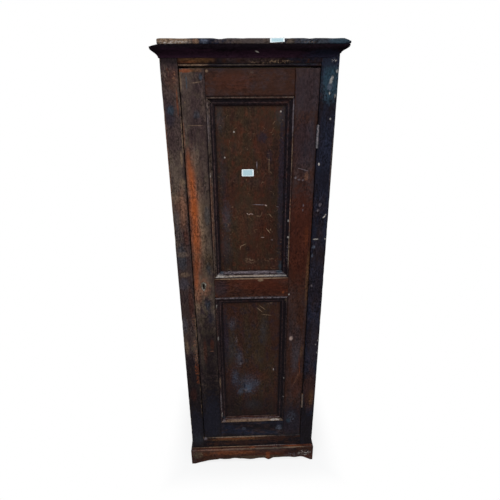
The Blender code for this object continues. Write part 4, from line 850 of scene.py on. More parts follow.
LOWER_PANEL = Look("lower_panel", Z, PANEL_Y, "umber", "brown", "navy", warmth=0.45, contrast=0.65,
                   speckle=0.06, deep=0.004, marks=(
    Mark("black", 0.000, 0.300, 0.170, 0.090, 0.55),
    Mark("black", -0.095, 0.370, 0.040, 0.090, 0.45, 2.0),
    Mark("navy", -0.108, 0.700, 0.0140, 0.180, 0.50, 2.0),
    Mark("slate", 0.051, 0.735, 0.0180, 0.085, 0.45, 2.0, soft=1.4),
    Mark("haze", -0.081, 0.774, 0.0190, 0.038, 0.32, 1.6, soft=1.4),
    Mark("slate", -0.085, 0.640, 0.0240, 0.110, 0.40, 2.0, soft=1.4),
    Mark("navy", -0.070, 0.470, 0.0450, 0.090, 0.45, 1.8, soft=1.4),
    Mark("haze", -0.055, 0.600, 0.0220, 0.060, 0.34, 1.8, soft=1.4),
    Mark("olive", 0.020, 0.600, 0.0350, 0.060, 0.22, 2.4, soft=1.4),
    Mark("haze", -0.074, 0.500, 0.0220, 0.056, 0.42, 1.8, soft=1.4),
    Mark("haze", -0.014, 0.456, 0.0540, 0.070, 0.42, 1.8, soft=1.4),
    Mark("haze", 0.020, 0.462, 0.0180, 0.026, 0.30, 1.6, soft=1.2),
    Mark("haze", -0.018, 0.436, 0.0240, 0.032, 0.68, 1.6, soft=1.2),
    Mark("lavender", -0.026, 0.424, 0.0080, 0.0120, 0.45, 1.0, soft=1.2),
    Mark("haze", -0.053, 0.416, 0.0160, 0.022, 0.45, 1.6, soft=1.2),
    Mark("slate", 0.000, 0.340, 0.0500, 0.040, 0.35, 2.0, soft=1.4),
    Mark("navy", -0.033, 0.447, 0.0045, 0.016, 0.85, 0.5),
    Mark("red", 0.048, 0.500, 0.0330, 0.040, 0.50, soft=1.2),
    Mark("lavender", -0.048, 0.570, 0.0055, 0.0085, 0.65, 0.8),
    Mark("lavender", -0.064, 0.688, 0.0055, 0.022, 0.55, broken=True),
    Mark("tan", 0.034, 0.838, 0.0185, 0.0018, 0.75, 0.4, 44),
    Mark("tan", 0.044, 0.849, 0.0185, 0.0018, 0.70, 0.4, 40),
    Mark("tan", 0.061, 0.814, 0.0240, 0.0018, 0.55, 0.4, 10),
    Mark("tan", 0.076, 0.868, 0.0155, 0.0035, 0.50, 0.8, -15, True),
    Mark("pale", 0.095, 0.534, 0.0022, 0.0070, 0.55, 0.4),
))
WIDE_FILLET = (0.0052, 0.0056)
# hollow is the strength of the painted shade in each moulding's hollows: strong on the heads and sides, weak
# on the sills that face up
MOULDINGS = {
    "upper_moulding_top": Look("upper_head", X, DOOR_Y, "black", "red", "brown", "weathered", "plum",
                               hollow=0.80),
    "upper_moulding_left": Look("upper_lock_side", Z, DOOR_Y, "black", "plum", "brown", "weathered", "plum",
                                WIDE_FILLET, hollow=0.85, marks=(
        Mark("ochre", -0.141, 1.250, 0.0060, 0.160, 0.40),
        Mark("lavender", -0.141, 1.560, 0.0060, 0.070, 0.30),
        Mark("pale", -0.142, 1.392, 0.0026, 0.0080, 0.50),
    )),
    "upper_moulding_right": Look("upper_hinge_side", Z, DOOR_Y, "black", "navy", "red", "plum", "plum",
                                 hollow=0.90, marks=(
        Mark("lavender", 0.143, 1.580, 0.0040, 0.060, 0.50),
        Mark("tan", 0.1435, 1.450, 0.0018, 0.090, 0.45, 0.6),
        Mark("ochre", 0.1435, 1.270, 0.0024, 0.090, 0.85, 0.6),
        Mark("tan", 0.1430, 1.110, 0.0020, 0.080, 0.60, 0.6),
        Mark("pale", 0.138, 1.220, 0.0026, 0.0055, 0.75, 0.4),
        Mark("pale", 0.139, 1.156, 0.0034, 0.0050, 0.80, 0.4),
        Mark("lavender", 0.138, 1.090, 0.0030, 0.0500, 0.55, broken=True),
    )),
    "upper_moulding_bottom": Look("upper_sill", X, DOOR_Y, "plum", "plum", "lavender", "plum", "lavender",
                                  hollow=0.35, deep=0.02, marks=(
        # Wear with painted sheen: pale bands along the sill's upward-facing ridges
        Mark("pale", 0.000, 0.9970, 0.350, 0.0036, 0.55, 0.6),
        Mark("tan", -0.020, 0.9975, 0.120, 0.0035, 0.45),
        Mark("lavender", 0.000, 1.0125, 0.122, 0.0032, 0.80, 0.4),
        Mark("slate", 0.118, 1.001, 0.024, 0.008, 0.50),
        Mark("pale", -0.124, 0.998, 0.020, 0.008, 0.50),
        Mark("teal", 0.112, 1.012, 0.016, 0.008, 0.60),
        Mark("teal", -0.118, 1.011, 0.012, 0.007, 0.45),
        # Painted shadow in the gap under the sill
        Mark("black", 0.000, 0.9915, 0.350, 0.0034, 0.85, 0.3),
    )),
    "lower_moulding_top": Look("lower_head", X, DOOR_Y, "black", "brown", "red", "lavender", "plum",
                               hollow=0.85),
    "lower_moulding_left": Look("lower_lock_side", Z, DOOR_Y, "black", "plum", "brown", "plum", "plum",
                                WIDE_FILLET, hollow=0.85, marks=(
        Mark("black", -0.132, 0.560, 0.020, 0.300, 0.35),
        Mark("ochre", -0.144, 0.790, 0.0030, 0.070, 0.60, broken=True),
        Mark("pale", -0.141, 0.865, 0.0028, 0.0100, 0.45),
        Mark("pale", -0.140, 0.710, 0.0028, 0.0110, 0.50),
        Mark("tan", -0.140, 0.480, 0.0035, 0.0300, 0.80),
        Mark("lavender", -0.140, 0.370, 0.0030, 0.0600, 0.75),
        Mark("pale", -0.138, 0.290, 0.0032, 0.0170, 0.70),
        Mark("teal", -0.130, 0.272, 0.010, 0.012, 0.50),
    )),
    "lower_moulding_right": Look("lower_hinge_side", Z, DOOR_Y, "black", "black", "brown", "plum", "plum",
                                 hollow=0.85, marks=(
        Mark("pale", 0.141, 0.495, 0.0030, 0.0050, 0.45),
        Mark("pale", 0.141, 0.390, 0.0030, 0.0040, 0.40),
        Mark("tan", 0.138, 0.885, 0.0060, 0.0140, 0.40, broken=True),
    )),
    "lower_moulding_bottom": Look("lower_sill", X, DOOR_Y, "brown", "red", "gold", "tan", "lavender",
                                  (0.0050, 0.0045), hollow=0.50, deep=0.02, marks=(
        # Wear with painted sheen: pale bands along the sill's upward-facing ridges
        Mark("plug", 0.000, 0.2580, 0.130, 0.0024, 0.45, 0.8),
        Mark("tan", 0.000, 0.2505, 0.140, 0.0034, 0.65, 0.8),
        Mark("pale", 0.106, 0.2520, 0.026, 0.0060, 0.65),
        Mark("lavender", -0.134, 0.255, 0.012, 0.010, 0.55),
    )),
}
SIDE_BOARD = Look("side_board", Z, FACE_Y, "black", "brown", "plum", bare="weathered")


# Meshes

def link(name, mesh):
    """Put a mesh into the scene as an object at the origin."""
    obj = bpy.data.objects.new(name, mesh)
    bpy.context.scene.collection.objects.link(obj)
    return obj


def settle(piece, body, slot, *nodes):
    """Hang a finished piece on its body, and hide the solids that it stands for."""
    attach(piece, body)
    if nodes:
        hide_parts(*nodes)
    return piece


def dress(node, material):
    """Give a solid of the frame a finish."""
    for slot in frame["nodes"][node].material_slots:
        slot.material = material


def farthest(face, axis):
    """How far a face reaches along an axis."""
    return max(vert.co[axis] for vert in face.verts)


def slice_mesh(bm, axis, levels):
    """Cut a mesh across an axis at rising levels."""
    normal = Vector((0, 0, 0))
    normal[axis] = 1
    faces = list(bm.faces)
    for level in levels:
        faces = [face for face in faces if face.is_valid and farthest(face, axis) > level]
        verts = dict.fromkeys(vert for face in faces for vert in face.verts)
        edges = dict.fromkeys(edge for face in faces for edge in face.edges)
        result = bmesh.ops.bisect_plane(bm, geom=[*verts, *edges, *faces], dist=WELD,
                                        plane_co=normal * level, plane_no=normal)
        faces = [item for item in result["geom"] if isinstance(item, bmesh.types.BMFace)]


def steps_between(low, high, spacing):
    """Evenly spaced levels inside a stretch."""
    count = max(1, round((high - low) / spacing))
    return [low + (high - low) * step / count for step in range(1, count)]


KNOCKS_PER_METRE = 60
SWELLS_PER_METRE = 8
KNOCK_DEPTH = 0.6
SWELL_DEPTH = 0.7
COMMON_WEAR = 0.12  # of the deepest chip: what an arris has lost where there is neither knock nor swell


def chip_at(place, seed):
    """How far an arris is chipped at a place, from 0 to 1: rare knocks on a slow swell."""
    shifted = place + Vector((seed, seed, seed))
    knocks = noise.noise(shifted * KNOCKS_PER_METRE)
    swell = noise.noise(shifted * SWELLS_PER_METRE)
    return min(1.0, max(0.0, KNOCK_DEPTH * knocks + SWELL_DEPTH * swell + COMMON_WEAR))


def merged_copy(node, has_holes=False):
    """The solid of a node with its triangles joined, and its flat faces made whole if it has no holes."""
    bm = bmesh.new()
    bm.from_mesh(frame["nodes"][node].data)
    bmesh.ops.remove_doubles(bm, verts=bm.verts, dist=WELD)
    if not has_holes:
        bmesh.ops.dissolve_limit(bm, angle_limit=FLAT_ANGLE, verts=bm.verts, edges=bm.edges)
    return bm


def finish_mesh(bm, name, material):
    """Turn a worked mesh into a shaded one."""
    bmesh.ops.triangulate(bm, faces=bm.faces)
    mesh = bpy.data.meshes.new(name)
    bm.to_mesh(mesh)
    bm.free()
    mesh.materials.append(material)
    mesh.shade_smooth()
    mesh.set_sharp_from_angle(angle=SMOOTH_ANGLE)
    return mesh


def cut_board(node, grain, has_flat_faces, has_holes=False):
    """The solid of a node, cut into short lengths along the grain so that its arrises can wear."""
    settings = sizes()
    low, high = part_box(node)
    bm = merged_copy(node, has_holes)
    if has_flat_faces:
        for axis in sorted({X, Y, Z} - {grain}):
            margin = min(settings.worn_margin, (high[axis] - low[axis]) / 3)
            slice_mesh(bm, axis, [low[axis] + margin, high[axis] - margin])
    slice_mesh(bm, grain, steps_between(low[grain], high[grain], settings.chip_spacing))
    return bm


def is_inside(place, low, high):
    """Whether a point of a board lies away from the long edges of its box, as the rim of a hole does."""
    gaps = [min(place[axis] - low[axis], high[axis] - place[axis]) for axis in (X, Y, Z)]
    return sum(gap < BORDER for gap in gaps) < 2


def wear_arrises(bm, depth, seed, box=None):
    """Chip the sharp outer edges, those of its box if one is given, and note where the stain is lost."""
    bm.normal_update()
    wear = bm.verts.layers.float.new("wear")
    arris = dict.fromkeys(
        vert for edge in bm.edges
        if edge.is_manifold and edge.calc_face_angle_signed() > ARRIS_ANGLE for vert in edge.verts)
    chips = [(vert, vert.normal.copy(), chip_at(vert.co, seed)) for vert in arris
             if not (box and is_inside(vert.co, *box))]
    for vert, normal, chip in chips:
        vert.co -= normal * chip * depth
        vert[wear] = chip


def stand_for(node, bm, material):
    """Make a piece from a worked mesh, in the place of its solid."""
    piece = link("worn_" + node, finish_mesh(bm, "worn_" + node, material))
    return settle(piece, frame["nodes"][node]["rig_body"], SLOTS[node], node)


def worn_board(node, grain, material, depth, has_flat_faces=True, has_holes=False):
    """A board or moulding with chipped arrises, standing for its solid."""
    bm = cut_board(node, grain, has_flat_faces, has_holes)
    low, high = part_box(node)
    wear_arrises(bm, depth, sizes().seed + low.x + low.z, (low, high) if has_holes else None)
    return stand_for(node, bm, material)


HOLLOWS_ACROSS = 14  # per metre, like those upward
HOLLOWS_UPWARD = 4


def planed_panel(node, material):
    """A panel whose face keeps the shallow hollows of hand planing, standing for its solid."""
    settings = sizes()
    low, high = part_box(node)
    bm = merged_copy(node)
    for axis in (X, Z):
        slice_mesh(bm, axis, steps_between(low[axis], high[axis], settings.panel_cell))
    for vert in bm.verts:
        if vert.co.y < low.y + WELD:
            place = Vector((vert.co.x * HOLLOWS_ACROSS, settings.seed, vert.co.z * HOLLOWS_UPWARD))
            hollow = noise.noise(place)
            vert.co.y += settings.panel_warp * (0.5 + 0.5 * hollow)
    return stand_for(node, bm, material)


# Geometry trees

class Graph(Tree):
    """A geometry tree, with named inputs for its sizes."""

    def __init__(self, name, inputs):
        super().__init__(bpy.data.node_groups.new(name, "GeometryNodeTree"))
        sockets = self.tree.interface
        sockets.new_socket("Geometry", in_out="INPUT", socket_type="NodeSocketGeometry")
        sockets.new_socket("Geometry", in_out="OUTPUT", socket_type="NodeSocketGeometry")
        for label, kind in inputs.items():
            sockets.new_socket(label, in_out="INPUT", socket_type="NodeSocket" + kind)
        self.given = self.add("NodeGroupInput")
        self.result = self.nodes.new("NodeGroupOutput").inputs

    def close(self, geometry):
        """Make everything real, give it its material and hand it on."""
        whole = self.add("GeometryNodeRealizeInstances", {"Geometry": geometry})["Geometry"]
        made = self.add("GeometryNodeSetMaterial", {"Geometry": whole, "Material": self.given["Material"]})
        self.put(self.result["Geometry"], made["Geometry"])
        return self.tree


HEAD_INPUTS = {"Radius": "Float", "Height": "Float", "Seed": "Int", "Material": "Material"}
NAIL_SIDES = 9
NAIL_CROWN = 0.6  # radius of a nail's flat top, as a share of the head's
SCREW_SIDES = 18


def scatter(graph, head):
    """One head on each point, facing the way that the point says, each a little different."""
    facing = graph.add("GeometryNodeInputNamedAttribute", {"Name": "facing"}, data_type="FLOAT_VECTOR")
    upright = graph.add("FunctionNodeAlignRotationToVector", {"Vector": facing["Attribute"]},
                        axis="Z")["Rotation"]
    spin = graph.add("FunctionNodeRandomValue", {"Min": 0.0, "Max": math.pi, "Seed": graph.given["Seed"]},
                     data_type="FLOAT")
    angle = next(socket for socket in spin if socket.type == "VALUE" and socket.enabled)
    turn = graph.add("FunctionNodeAxisAngleToRotation", {"Axis": (0, 0, 1), "Angle": angle})
    turned = graph.add("FunctionNodeRotateRotation", {"Rotation": upright, "Rotate By": turn["Rotation"]},
                       rotation_space="LOCAL")["Rotation"]
    placed = graph.add("GeometryNodeInstanceOnPoints", {
        "Points": graph.given["Geometry"], "Instance": head, "Rotation": turned})["Instances"]
    return graph.close(placed)


def nail_tree():
    """Hammered nail heads: low faceted frustums."""
    graph = Graph("nail_heads", HEAD_INPUTS)
    crown = graph.math("MULTIPLY", graph.given["Radius"], NAIL_CROWN)
    head = graph.add("GeometryNodeMeshCone", {
        "Vertices": NAIL_SIDES, "Radius Top": crown, "Radius Bottom": graph.given["Radius"],
        "Depth": graph.given["Height"]})["Mesh"]
    return scatter(graph, head)


def screw_tree():
    """Flat screw heads with a sawn slot."""
    graph = Graph("screw_heads", {**HEAD_INPUTS, "Slot width": "Float"})
    double = graph.math("MULTIPLY", graph.given["Height"], 2.0)
    disc = graph.add("GeometryNodeMeshCylinder", {
        "Vertices": SCREW_SIDES, "Radius": graph.given["Radius"], "Depth": double})["Mesh"]
    length_of_slot = graph.math("MULTIPLY", graph.given["Radius"], 3.0)
    extent = graph.add("ShaderNodeCombineXYZ", {
        "X": length_of_slot, "Y": graph.given["Slot width"], "Z": double})["Vector"]
    saw = graph.add("GeometryNodeMeshCube", {"Size": extent})["Mesh"]
    lift = graph.add("ShaderNodeCombineXYZ", {"Z": double})["Vector"]
    raised = graph.add("GeometryNodeTransform", {"Geometry": saw, "Translation": lift})["Geometry"]
    head = graph.add("GeometryNodeMeshBoolean", {"Mesh 1": disc, "Mesh 2": raised}, operation="DIFFERENCE")
    return scatter(graph, head["Mesh"])


HOLE_SIDES = 8
NEARLY_HALF = 0.49  # of the pitch: points further than this past the middle of the last hole are the border


def zinc_tree():
    """A sheet of round holes on a square pitch, with a plain margin."""
    graph = Graph("perforated_zinc", {
        "Pitch": "Float", "Hole radius": "Float", "Columns": "Int", "Rows": "Int",
        "Sheet width": "Float", "Sheet height": "Float", "Material": "Material"})
    given = graph.given
    disc = graph.add("GeometryNodeMeshCircle", {"Vertices": HOLE_SIDES, "Radius": 1.0}, fill_type="NGON")
    rim = graph.add("GeometryNodeExtrudeMesh", {"Mesh": disc["Mesh"], "Offset Scale": 0.0}, mode="FACES")
    place = graph.add("GeometryNodeInputPosition")["Position"]
    drilled = graph.add("GeometryNodeSetPosition", {
        "Geometry": rim["Mesh"], "Selection": rim["Top"],
        "Position": graph.scaled(place, given["Hole radius"])})["Geometry"]
    parts = graph.split(place)
    widest = graph.math("MAXIMUM", graph.math("ABSOLUTE", parts["X"]), graph.math("ABSOLUTE", parts["Y"]))
    stretch = graph.math("DIVIDE", graph.math("MULTIPLY", given["Pitch"], 0.5), widest)
    outside = graph.add("FunctionNodeBooleanMath", {0: rim["Top"]}, operation="NOT")["Boolean"]
    squared = graph.add("GeometryNodeSetPosition", {
        "Geometry": drilled, "Selection": outside, "Position": graph.scaled(place, stretch)})["Geometry"]
    tile = graph.add("GeometryNodeDeleteGeometry", {"Geometry": squared, "Selection": rim["Top"]},
                     domain="FACE")["Geometry"]
    across = graph.math("MULTIPLY", given["Pitch"], graph.math("SUBTRACT", given["Columns"], 1.0))
    upright = graph.math("MULTIPLY", given["Pitch"], graph.math("SUBTRACT", given["Rows"], 1.0))
    grid = graph.add("GeometryNodeMeshGrid", {
        "Size X": across, "Size Y": upright,
        "Vertices X": given["Columns"], "Vertices Y": given["Rows"]})["Mesh"]
    tiles = graph.add("GeometryNodeInstanceOnPoints", {"Points": grid, "Instance": tile})["Instances"]
    real = graph.add("GeometryNodeRealizeInstances", {"Geometry": tiles})["Geometry"]
    sheet = graph.add("GeometryNodeMergeByDistance", {"Geometry": real, "Distance": 10 * WELD})["Geometry"]
    edges = []
    for axis, span, extent in (("X", across, given["Sheet width"]), ("Y", upright, given["Sheet height"])):
        reach = graph.math("ABSOLUTE", parts[axis])
        past = graph.math("SUBTRACT", reach, graph.math("MULTIPLY", span, 0.5))
        border = graph.math("GREATER_THAN", past, graph.math("MULTIPLY", given["Pitch"], NEARLY_HALF))
        half = graph.math("MULTIPLY", extent, 0.5)
        moved = graph.math("MULTIPLY", graph.math("SIGN", parts[axis]), half)
        kept = graph.math("MULTIPLY", parts[axis], graph.math("SUBTRACT", 1.0, border))
        edges.append(graph.math("ADD", kept, graph.math("MULTIPLY", moved, border)))
    margin = graph.add("ShaderNodeCombineXYZ", {"X": edges[0], "Y": edges[1]})["Vector"]
    whole = graph.add("GeometryNodeSetPosition", {"Geometry": sheet, "Position": margin})["Geometry"]
    return graph.close(whole)


def add_tree(obj, tree, values):
    """Give an object a tree as its modifier, with the tree's inputs set."""
    modifier = obj.modifiers.new(tree.name, "NODES")
    modifier.node_group = tree
    for item in tree.interface.items_tree:
        if item.in_out == "INPUT" and item.name in values:
            modifier[item.identifier] = values[item.name]


def make_plain(obj):
    """Replace an object's modifiers by the mesh that they make."""
    depsgraph = bpy.context.evaluated_depsgraph_get()
    mesh = bpy.data.meshes.new_from_object(obj.evaluated_get(depsgraph))
    obj.modifiers.clear()
    obj.data = mesh


def fasteners(name, places, tree, values, body, slot):
    """Heads at many places, as one piece on one body."""
    mesh = bpy.data.meshes.new(name)
    mesh.from_pydata([place - facing * SEAT for place, facing in places], [], [])
    layer = mesh.attributes.new("facing", "FLOAT_VECTOR", "POINT")
    for item, (_, facing) in zip(layer.data, places):
        item.vector = facing
    obj = link(name, mesh)
    add_tree(obj, tree, values)
    make_plain(obj)
    return settle(obj, body, slot)


# Operators, one for each group of like pieces

BACK_BOARDS = sorted(node for node in frame["nodes"] if node.startswith("back_board_"))
BEARERS = sorted(node for node in frame["nodes"] if node.startswith("shelf_bearer"))
SHELVES = sorted(node for node in frame["nodes"] if node.startswith("shelf_") and node not in BEARERS)
SIDES_OF_PANEL = ("left", "right", "bottom", "top")


class MEATSAFE_OT_face_frame(bpy.types.Operator):
    """Worn stiles and rails round the door"""

    bl_idname = "meatsafe.face_frame"
    bl_label = "Face Frame"
    bl_options = {"REGISTER", "UNDO"}

    def execute(self, context):
        depth = sizes().chip_depth
        for node, look in (("left_face_stile", LEFT_STILE), ("right_face_stile", RIGHT_STILE),
                           ("top_face_rail", TOP_RAIL), ("bottom_face_rail", BOTTOM_RAIL)):
            worn_board(node, look.grain, stained_timber(look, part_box(node)), depth)
        return {"FINISHED"}


# Swells along an edge: place, half width, height
TOP_DIPS = (
    (-0.290, 0.012, 0.0030), (-0.210, 0.040, 0.0008), (-0.093, 0.024, 0.0026), (-0.025, 0.016, 0.0008),
    (0.115, 0.018, 0.0010), (0.183, 0.018, 0.0016), (0.255, 0.030, 0.0008), (0.310, 0.022, 0.0060),
)
FOOT_SWELLS = (
    (-0.168, 0.028, 0.0040), (-0.085, 0.030, 0.0045), (-0.008, 0.044, -0.0060),
    (0.079, 0.024, -0.0120), (0.150, 0.030, 0.0012), (0.205, 0.035, -0.0040),
)


def swell_at(place, swells):
    """How far a worn edge stands off its line at a place along it."""
    height = 0.0
    for middle, half_width, peak in swells:
        off = abs(place - middle) / half_width
        if off < 1:
            height += peak * (0.5 + 0.5 * math.cos(math.pi * off))
    return height


class MEATSAFE_OT_cornice(bpy.types.Operator):
    """The cornice with its worn tips"""

    bl_idname = "meatsafe.cornice"
    bl_label = "Cornice"
    bl_options = {"REGISTER", "UNDO"}

    def execute(self, context):
        settings = sizes()
        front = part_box("cornice_front")
        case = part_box("right_side")[1].x
        returns = stained_timber(CORNICE_RETURN)
        finishes = {"front": stained_timber(CORNICE), "left": returns, "right": returns}
        for side, finish in finishes.items():
            node = "cornice_" + side
            bm = cut_board(node, X if side == "front" else Y, has_flat_faces=False)
            for vert in bm.verts:
                vert.co.z += self.worn_tip(settings, vert.co, *front, case)
            wear_arrises(bm, settings.chip_depth, settings.seed)
            stand_for(node, bm, finish)
        return {"FINISHED"}

    def worn_tip(self, settings, place, low, high, case):
        """How far wear moves a point: the left tip is rounded over, the right has lost its lower edge."""
        level = (place.z - low.z) / (high.z - low.z)
        out = max(0.0, (abs(place.x) - case) / (high.x - case))
        if place.x < 0:
            return -settings.left_tip_wear * out * level ** 2
        reach = settings.right_tip_reach
        near = min(1.0, max(0.0, 1 - (high.x - reach - place.x) / reach))
        return settings.right_tip_wear * near * (1 - level)


class MEATSAFE_OT_plinth(bpy.types.Operator):
    """The plinth with its uneven foot"""

    bl_idname = "meatsafe.plinth"
    bl_label = "Plinth"
    bl_options = {"REGISTER", "UNDO"}

    def execute(self, context):
        settings = sizes()
        low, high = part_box("plinth_front")
        bm = cut_board("plinth_front", X, has_flat_faces=False)
        arch = max(vert.co.z for vert in bm.verts if vert.co.z < (low.z + high.z) / 2)
        for vert in bm.verts:
            if abs(vert.co.z - arch) < WELD:
                vert.co.z += swell_at(vert.co.x, FOOT_SWELLS)
        wear_arrises(bm, settings.chip_depth, settings.seed)
        stand_for("plinth_front", bm, stained_timber(PLINTH))
        finish = stained_timber(PLINTH_RETURN)
        for node in ("plinth_left", "plinth_right"):
            worn_board(node, Y, finish, settings.chip_depth, has_flat_faces=False)
        return {"FINISHED"}


SAG_SLICES = 4


class MEATSAFE_OT_top_board(bpy.types.Operator):
    """The top board with its gnawed edge"""

    bl_idname = "meatsafe.top_board"
    bl_label = "Top Board"
    bl_options = {"REGISTER", "UNDO"}

    def execute(self, context):
        settings = sizes()
        low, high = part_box("top_board")
        bm = cut_board("top_board", X, has_flat_faces=True)
        shares = [step / SAG_SLICES for step in range(1, SAG_SLICES + 1)]
        slice_mesh(bm, Y, [low.y + share * settings.sag_reach for share in shares])
        middle = (low.z + high.z) / 2
        for vert in bm.verts:
            front = 1 - (vert.co.y - low.y) / settings.sag_reach
            if vert.co.z > middle and front > 0:
                vert.co.z -= swell_at(vert.co.x, TOP_DIPS) * front
            if vert.co.x > high.x - WELD:
                vert.co.x += settings.top_overhang
        wear_arrises(bm, settings.top_chip_depth, settings.seed)
        stand_for("top_board", bm, stained_timber(TOP_BOARD))
        return {"FINISHED"}


class MEATSAFE_OT_door_frame(bpy.types.Operator):
    """Worn stiles and rails of the door"""

    bl_idname = "meatsafe.door_frame"
    bl_label = "Door Frame"
    bl_options = {"REGISTER", "UNDO"}

    def execute(self, context):
        depth = sizes().chip_depth
        for node, look in (("door_lock_stile", LOCK_STILE), ("door_hinge_stile", HINGE_STILE),
                           ("door_top_rail", DOOR_TOP_RAIL), ("door_lock_rail", DOOR_LOCK_RAIL),
                           ("door_bottom_rail", DOOR_BOTTOM_RAIL)):
            finish = stained_timber(look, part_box(node))
            worn_board(node, look.grain, finish, depth, has_holes=look is LOCK_STILE)
        return {"FINISHED"}


class MEATSAFE_OT_door_panels(bpy.types.Operator):
    """Hand-planed panels and their mitred mouldings"""

    bl_idname = "meatsafe.door_panels"
    bl_label = "Door Panels"
    bl_options = {"REGISTER", "UNDO"}

    def execute(self, context):
        depth = sizes().chip_depth
        for panel, look in (("upper", UPPER_PANEL), ("lower", LOWER_PANEL)):
            left, right, foot, head = (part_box(panel + "_moulding_" + side) for side in SIDES_OF_PANEL)
            node = "door_" + panel + "_panel"
            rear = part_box(node)[1].y
            seen = (Vector((left[1].x, PANEL_Y, foot[1].z)), Vector((right[0].x, rear, head[0].z)))
            planed_panel(node, stained_timber(look, seen))
            opening = (Vector((left[0].x, DOOR_Y, foot[0].z)), Vector((right[1].x, DOOR_Y, head[1].z)))
            for side in SIDES_OF_PANEL:
                node = panel + "_moulding_" + side
                finish = stained_timber(MOULDINGS[node], opening)
                worn_board(node, MOULDINGS[node].grain, finish, depth, has_flat_faces=False)
        return {"FINISHED"}


class MEATSAFE_OT_case_boards(bpy.types.Operator):
    """Sides, back, floor, shelves, bearers and door stop"""

    bl_idname = "meatsafe.case_boards"
    bl_label = "Case Boards"
    bl_options = {"REGISTER", "UNDO"}

    def execute(self, context):
        depth = sizes().chip_depth
        stained = stained_timber(SIDE_BOARD)
        level = raw_timber("raw_level", X, grimy=0.40)
        deep = raw_timber("raw_deep", Y, grimy=0.45)
        for node in ("left_side", "right_side"):
            worn_board(node, Z, stained, depth, has_holes=True)
        for index, node in enumerate(BACK_BOARDS, 1):
            finish = raw_timber("back_timber_" + str(index), Z, grimy=0.60, shift=index)
            worn_board(node, Z, finish, depth)
        for node in SHELVES:
            worn_board(node, X, level, depth)
        for node in BEARERS:
            dress(node, deep)
        for node in ("bottom_board", "door_stop"):
            dress(node, level)
        return {"FINISHED"}


# Shares of the escutcheon's width and height within which its opening lies
KEYHOLE_WIDTH = 0.4
KEYHOLE_HEIGHT = 0.7


class MEATSAFE_OT_ironwork(bpy.types.Operator):
    """Hinges, lock and escutcheon"""

    bl_idname = "meatsafe.ironwork"
    bl_label = "Ironwork"
    bl_options = {"REGISTER", "UNDO"}

    def execute(self, context):
        grey = old_metal("grey_hinge_iron", "slate", "lavender", "steel", metallic=0.35, rub=0.20)
        rusty = old_metal("rusty_hinge_iron", "iron", "rust", "steel", metallic=0.45, rub=0.15)
        lock = old_metal("lock_iron", "iron", "iron", "steel", metallic=0.70, rub=0.60)
        for node, slot in SLOTS.items():
            if slot == "dark_iron":
                dress(node, grey if node.startswith("upper") else rusty)
            elif slot == "lock_iron":
                dress(node, lock)
        self.escutcheon(old_metal("old_brass", "tarnish", "olive", "brass", metallic=0.40, rub=0.95))
        return {"FINISHED"}

    def escutcheon(self, finish):
        """The plate over the keyhole, its opening worn wide by the key."""
        low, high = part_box("escutcheon")
        middle = (low + high) / 2
        half_width = KEYHOLE_WIDTH * (high.x - middle.x)
        half_height = KEYHOLE_HEIGHT * (high.z - middle.z)
        bm = merged_copy("escutcheon", has_holes=True)
        for vert in bm.verts:
            off = vert.co - middle
            if WELD < abs(off.x) < half_width and abs(off.z) < half_height:
                vert.co.x += math.copysign(sizes().keyhole_wear, off.x)
        stand_for("escutcheon", bm, finish)


SCREWS_PER_LEAF = 3
SCREW_STAGGER = 0.004


class MEATSAFE_OT_screws(bpy.types.Operator):
    """Slotted screws in the hinges and the lock"""

    bl_idname = "meatsafe.screws"
    bl_label = "Screws"
    bl_options = {"REGISTER", "UNDO"}

    def execute(self, context):
        settings = sizes()
        tree = screw_tree()
        values = {"Radius": settings.screw_radius, "Height": settings.screw_height, "Seed": settings.seed,
                  "Slot width": settings.slot_width,
                  "Material": old_metal("screw_iron", "iron", "rust", "steel", metallic=0.7, rub=0.8)}
        carcass = []
        door = []
        for level in ("upper", "lower"):
            carcass += self.leaf_screws(level + "_hinge_frame_leaf", FACE_Y, LEFTWARD)
            door += self.leaf_screws(level + "_hinge_door_leaf", DOOR_Y, RIGHTWARD)
        low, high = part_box("lock_case")
        inset = 2 * settings.screw_radius
        for x in (low.x + inset, high.x - inset):
            for z in (low.z + inset, high.z - inset):
                door.append((Vector((x, high.y, z)), REARWARD))
        fasteners("frame_screws", carcass, tree, values, "carcass", "dark_iron")
        fasteners("door_screws", door, tree, values, "door", "lock_iron")
        return {"FINISHED"}

    def leaf_screws(self, node, front, facing):
        """Places of the screws in the plate of one leaf, staggered along it, clear of its knuckles."""
        low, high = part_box(node)
        pitch = (high.z - low.z) / SCREWS_PER_LEAF
        middle = (front + high.y) / 2
        across = [vert.co.x for vert in frame["nodes"][node].data.vertices if vert.co.y > front + BORDER]
        x = min(across) if facing.x < 0 else max(across)
        places = []
        for index in range(SCREWS_PER_LEAF):
            y = middle + (SCREW_STAGGER if index % 2 else -SCREW_STAGGER) / 2
            places.append((Vector((x, y, low.z + pitch * (index + 0.5))), facing))
        return places


BACK_NAIL_SHARES = (0.2, 0.8)  # of a back board's width
BACK_NAIL_DROP = 0.012  # of the highest nails below the top of the sides
TOP_NAIL_SHARES = (0.25, 0.5, 0.78, 0.95)  # of the top board's depth
TOP_NAIL_SPACING = 0.13
PLINTH_BRAD_SHARE = 0.55  # of the plinth's height
PLINTH_BRAD_SPACING = 0.12
RETURN_BRAD_SPACING = 0.11
MOULDING_BRAD_SHARE = 0.1  # of a panel moulding's width
MOULDING_BRAD_SPACING = 0.16
PIN_INSET = 2.2  # of the upper pin from the top of the escutcheon, in radii of a pin
POINT_INSET = 1.4 * PIN_INSET  # of the lower pin from its point


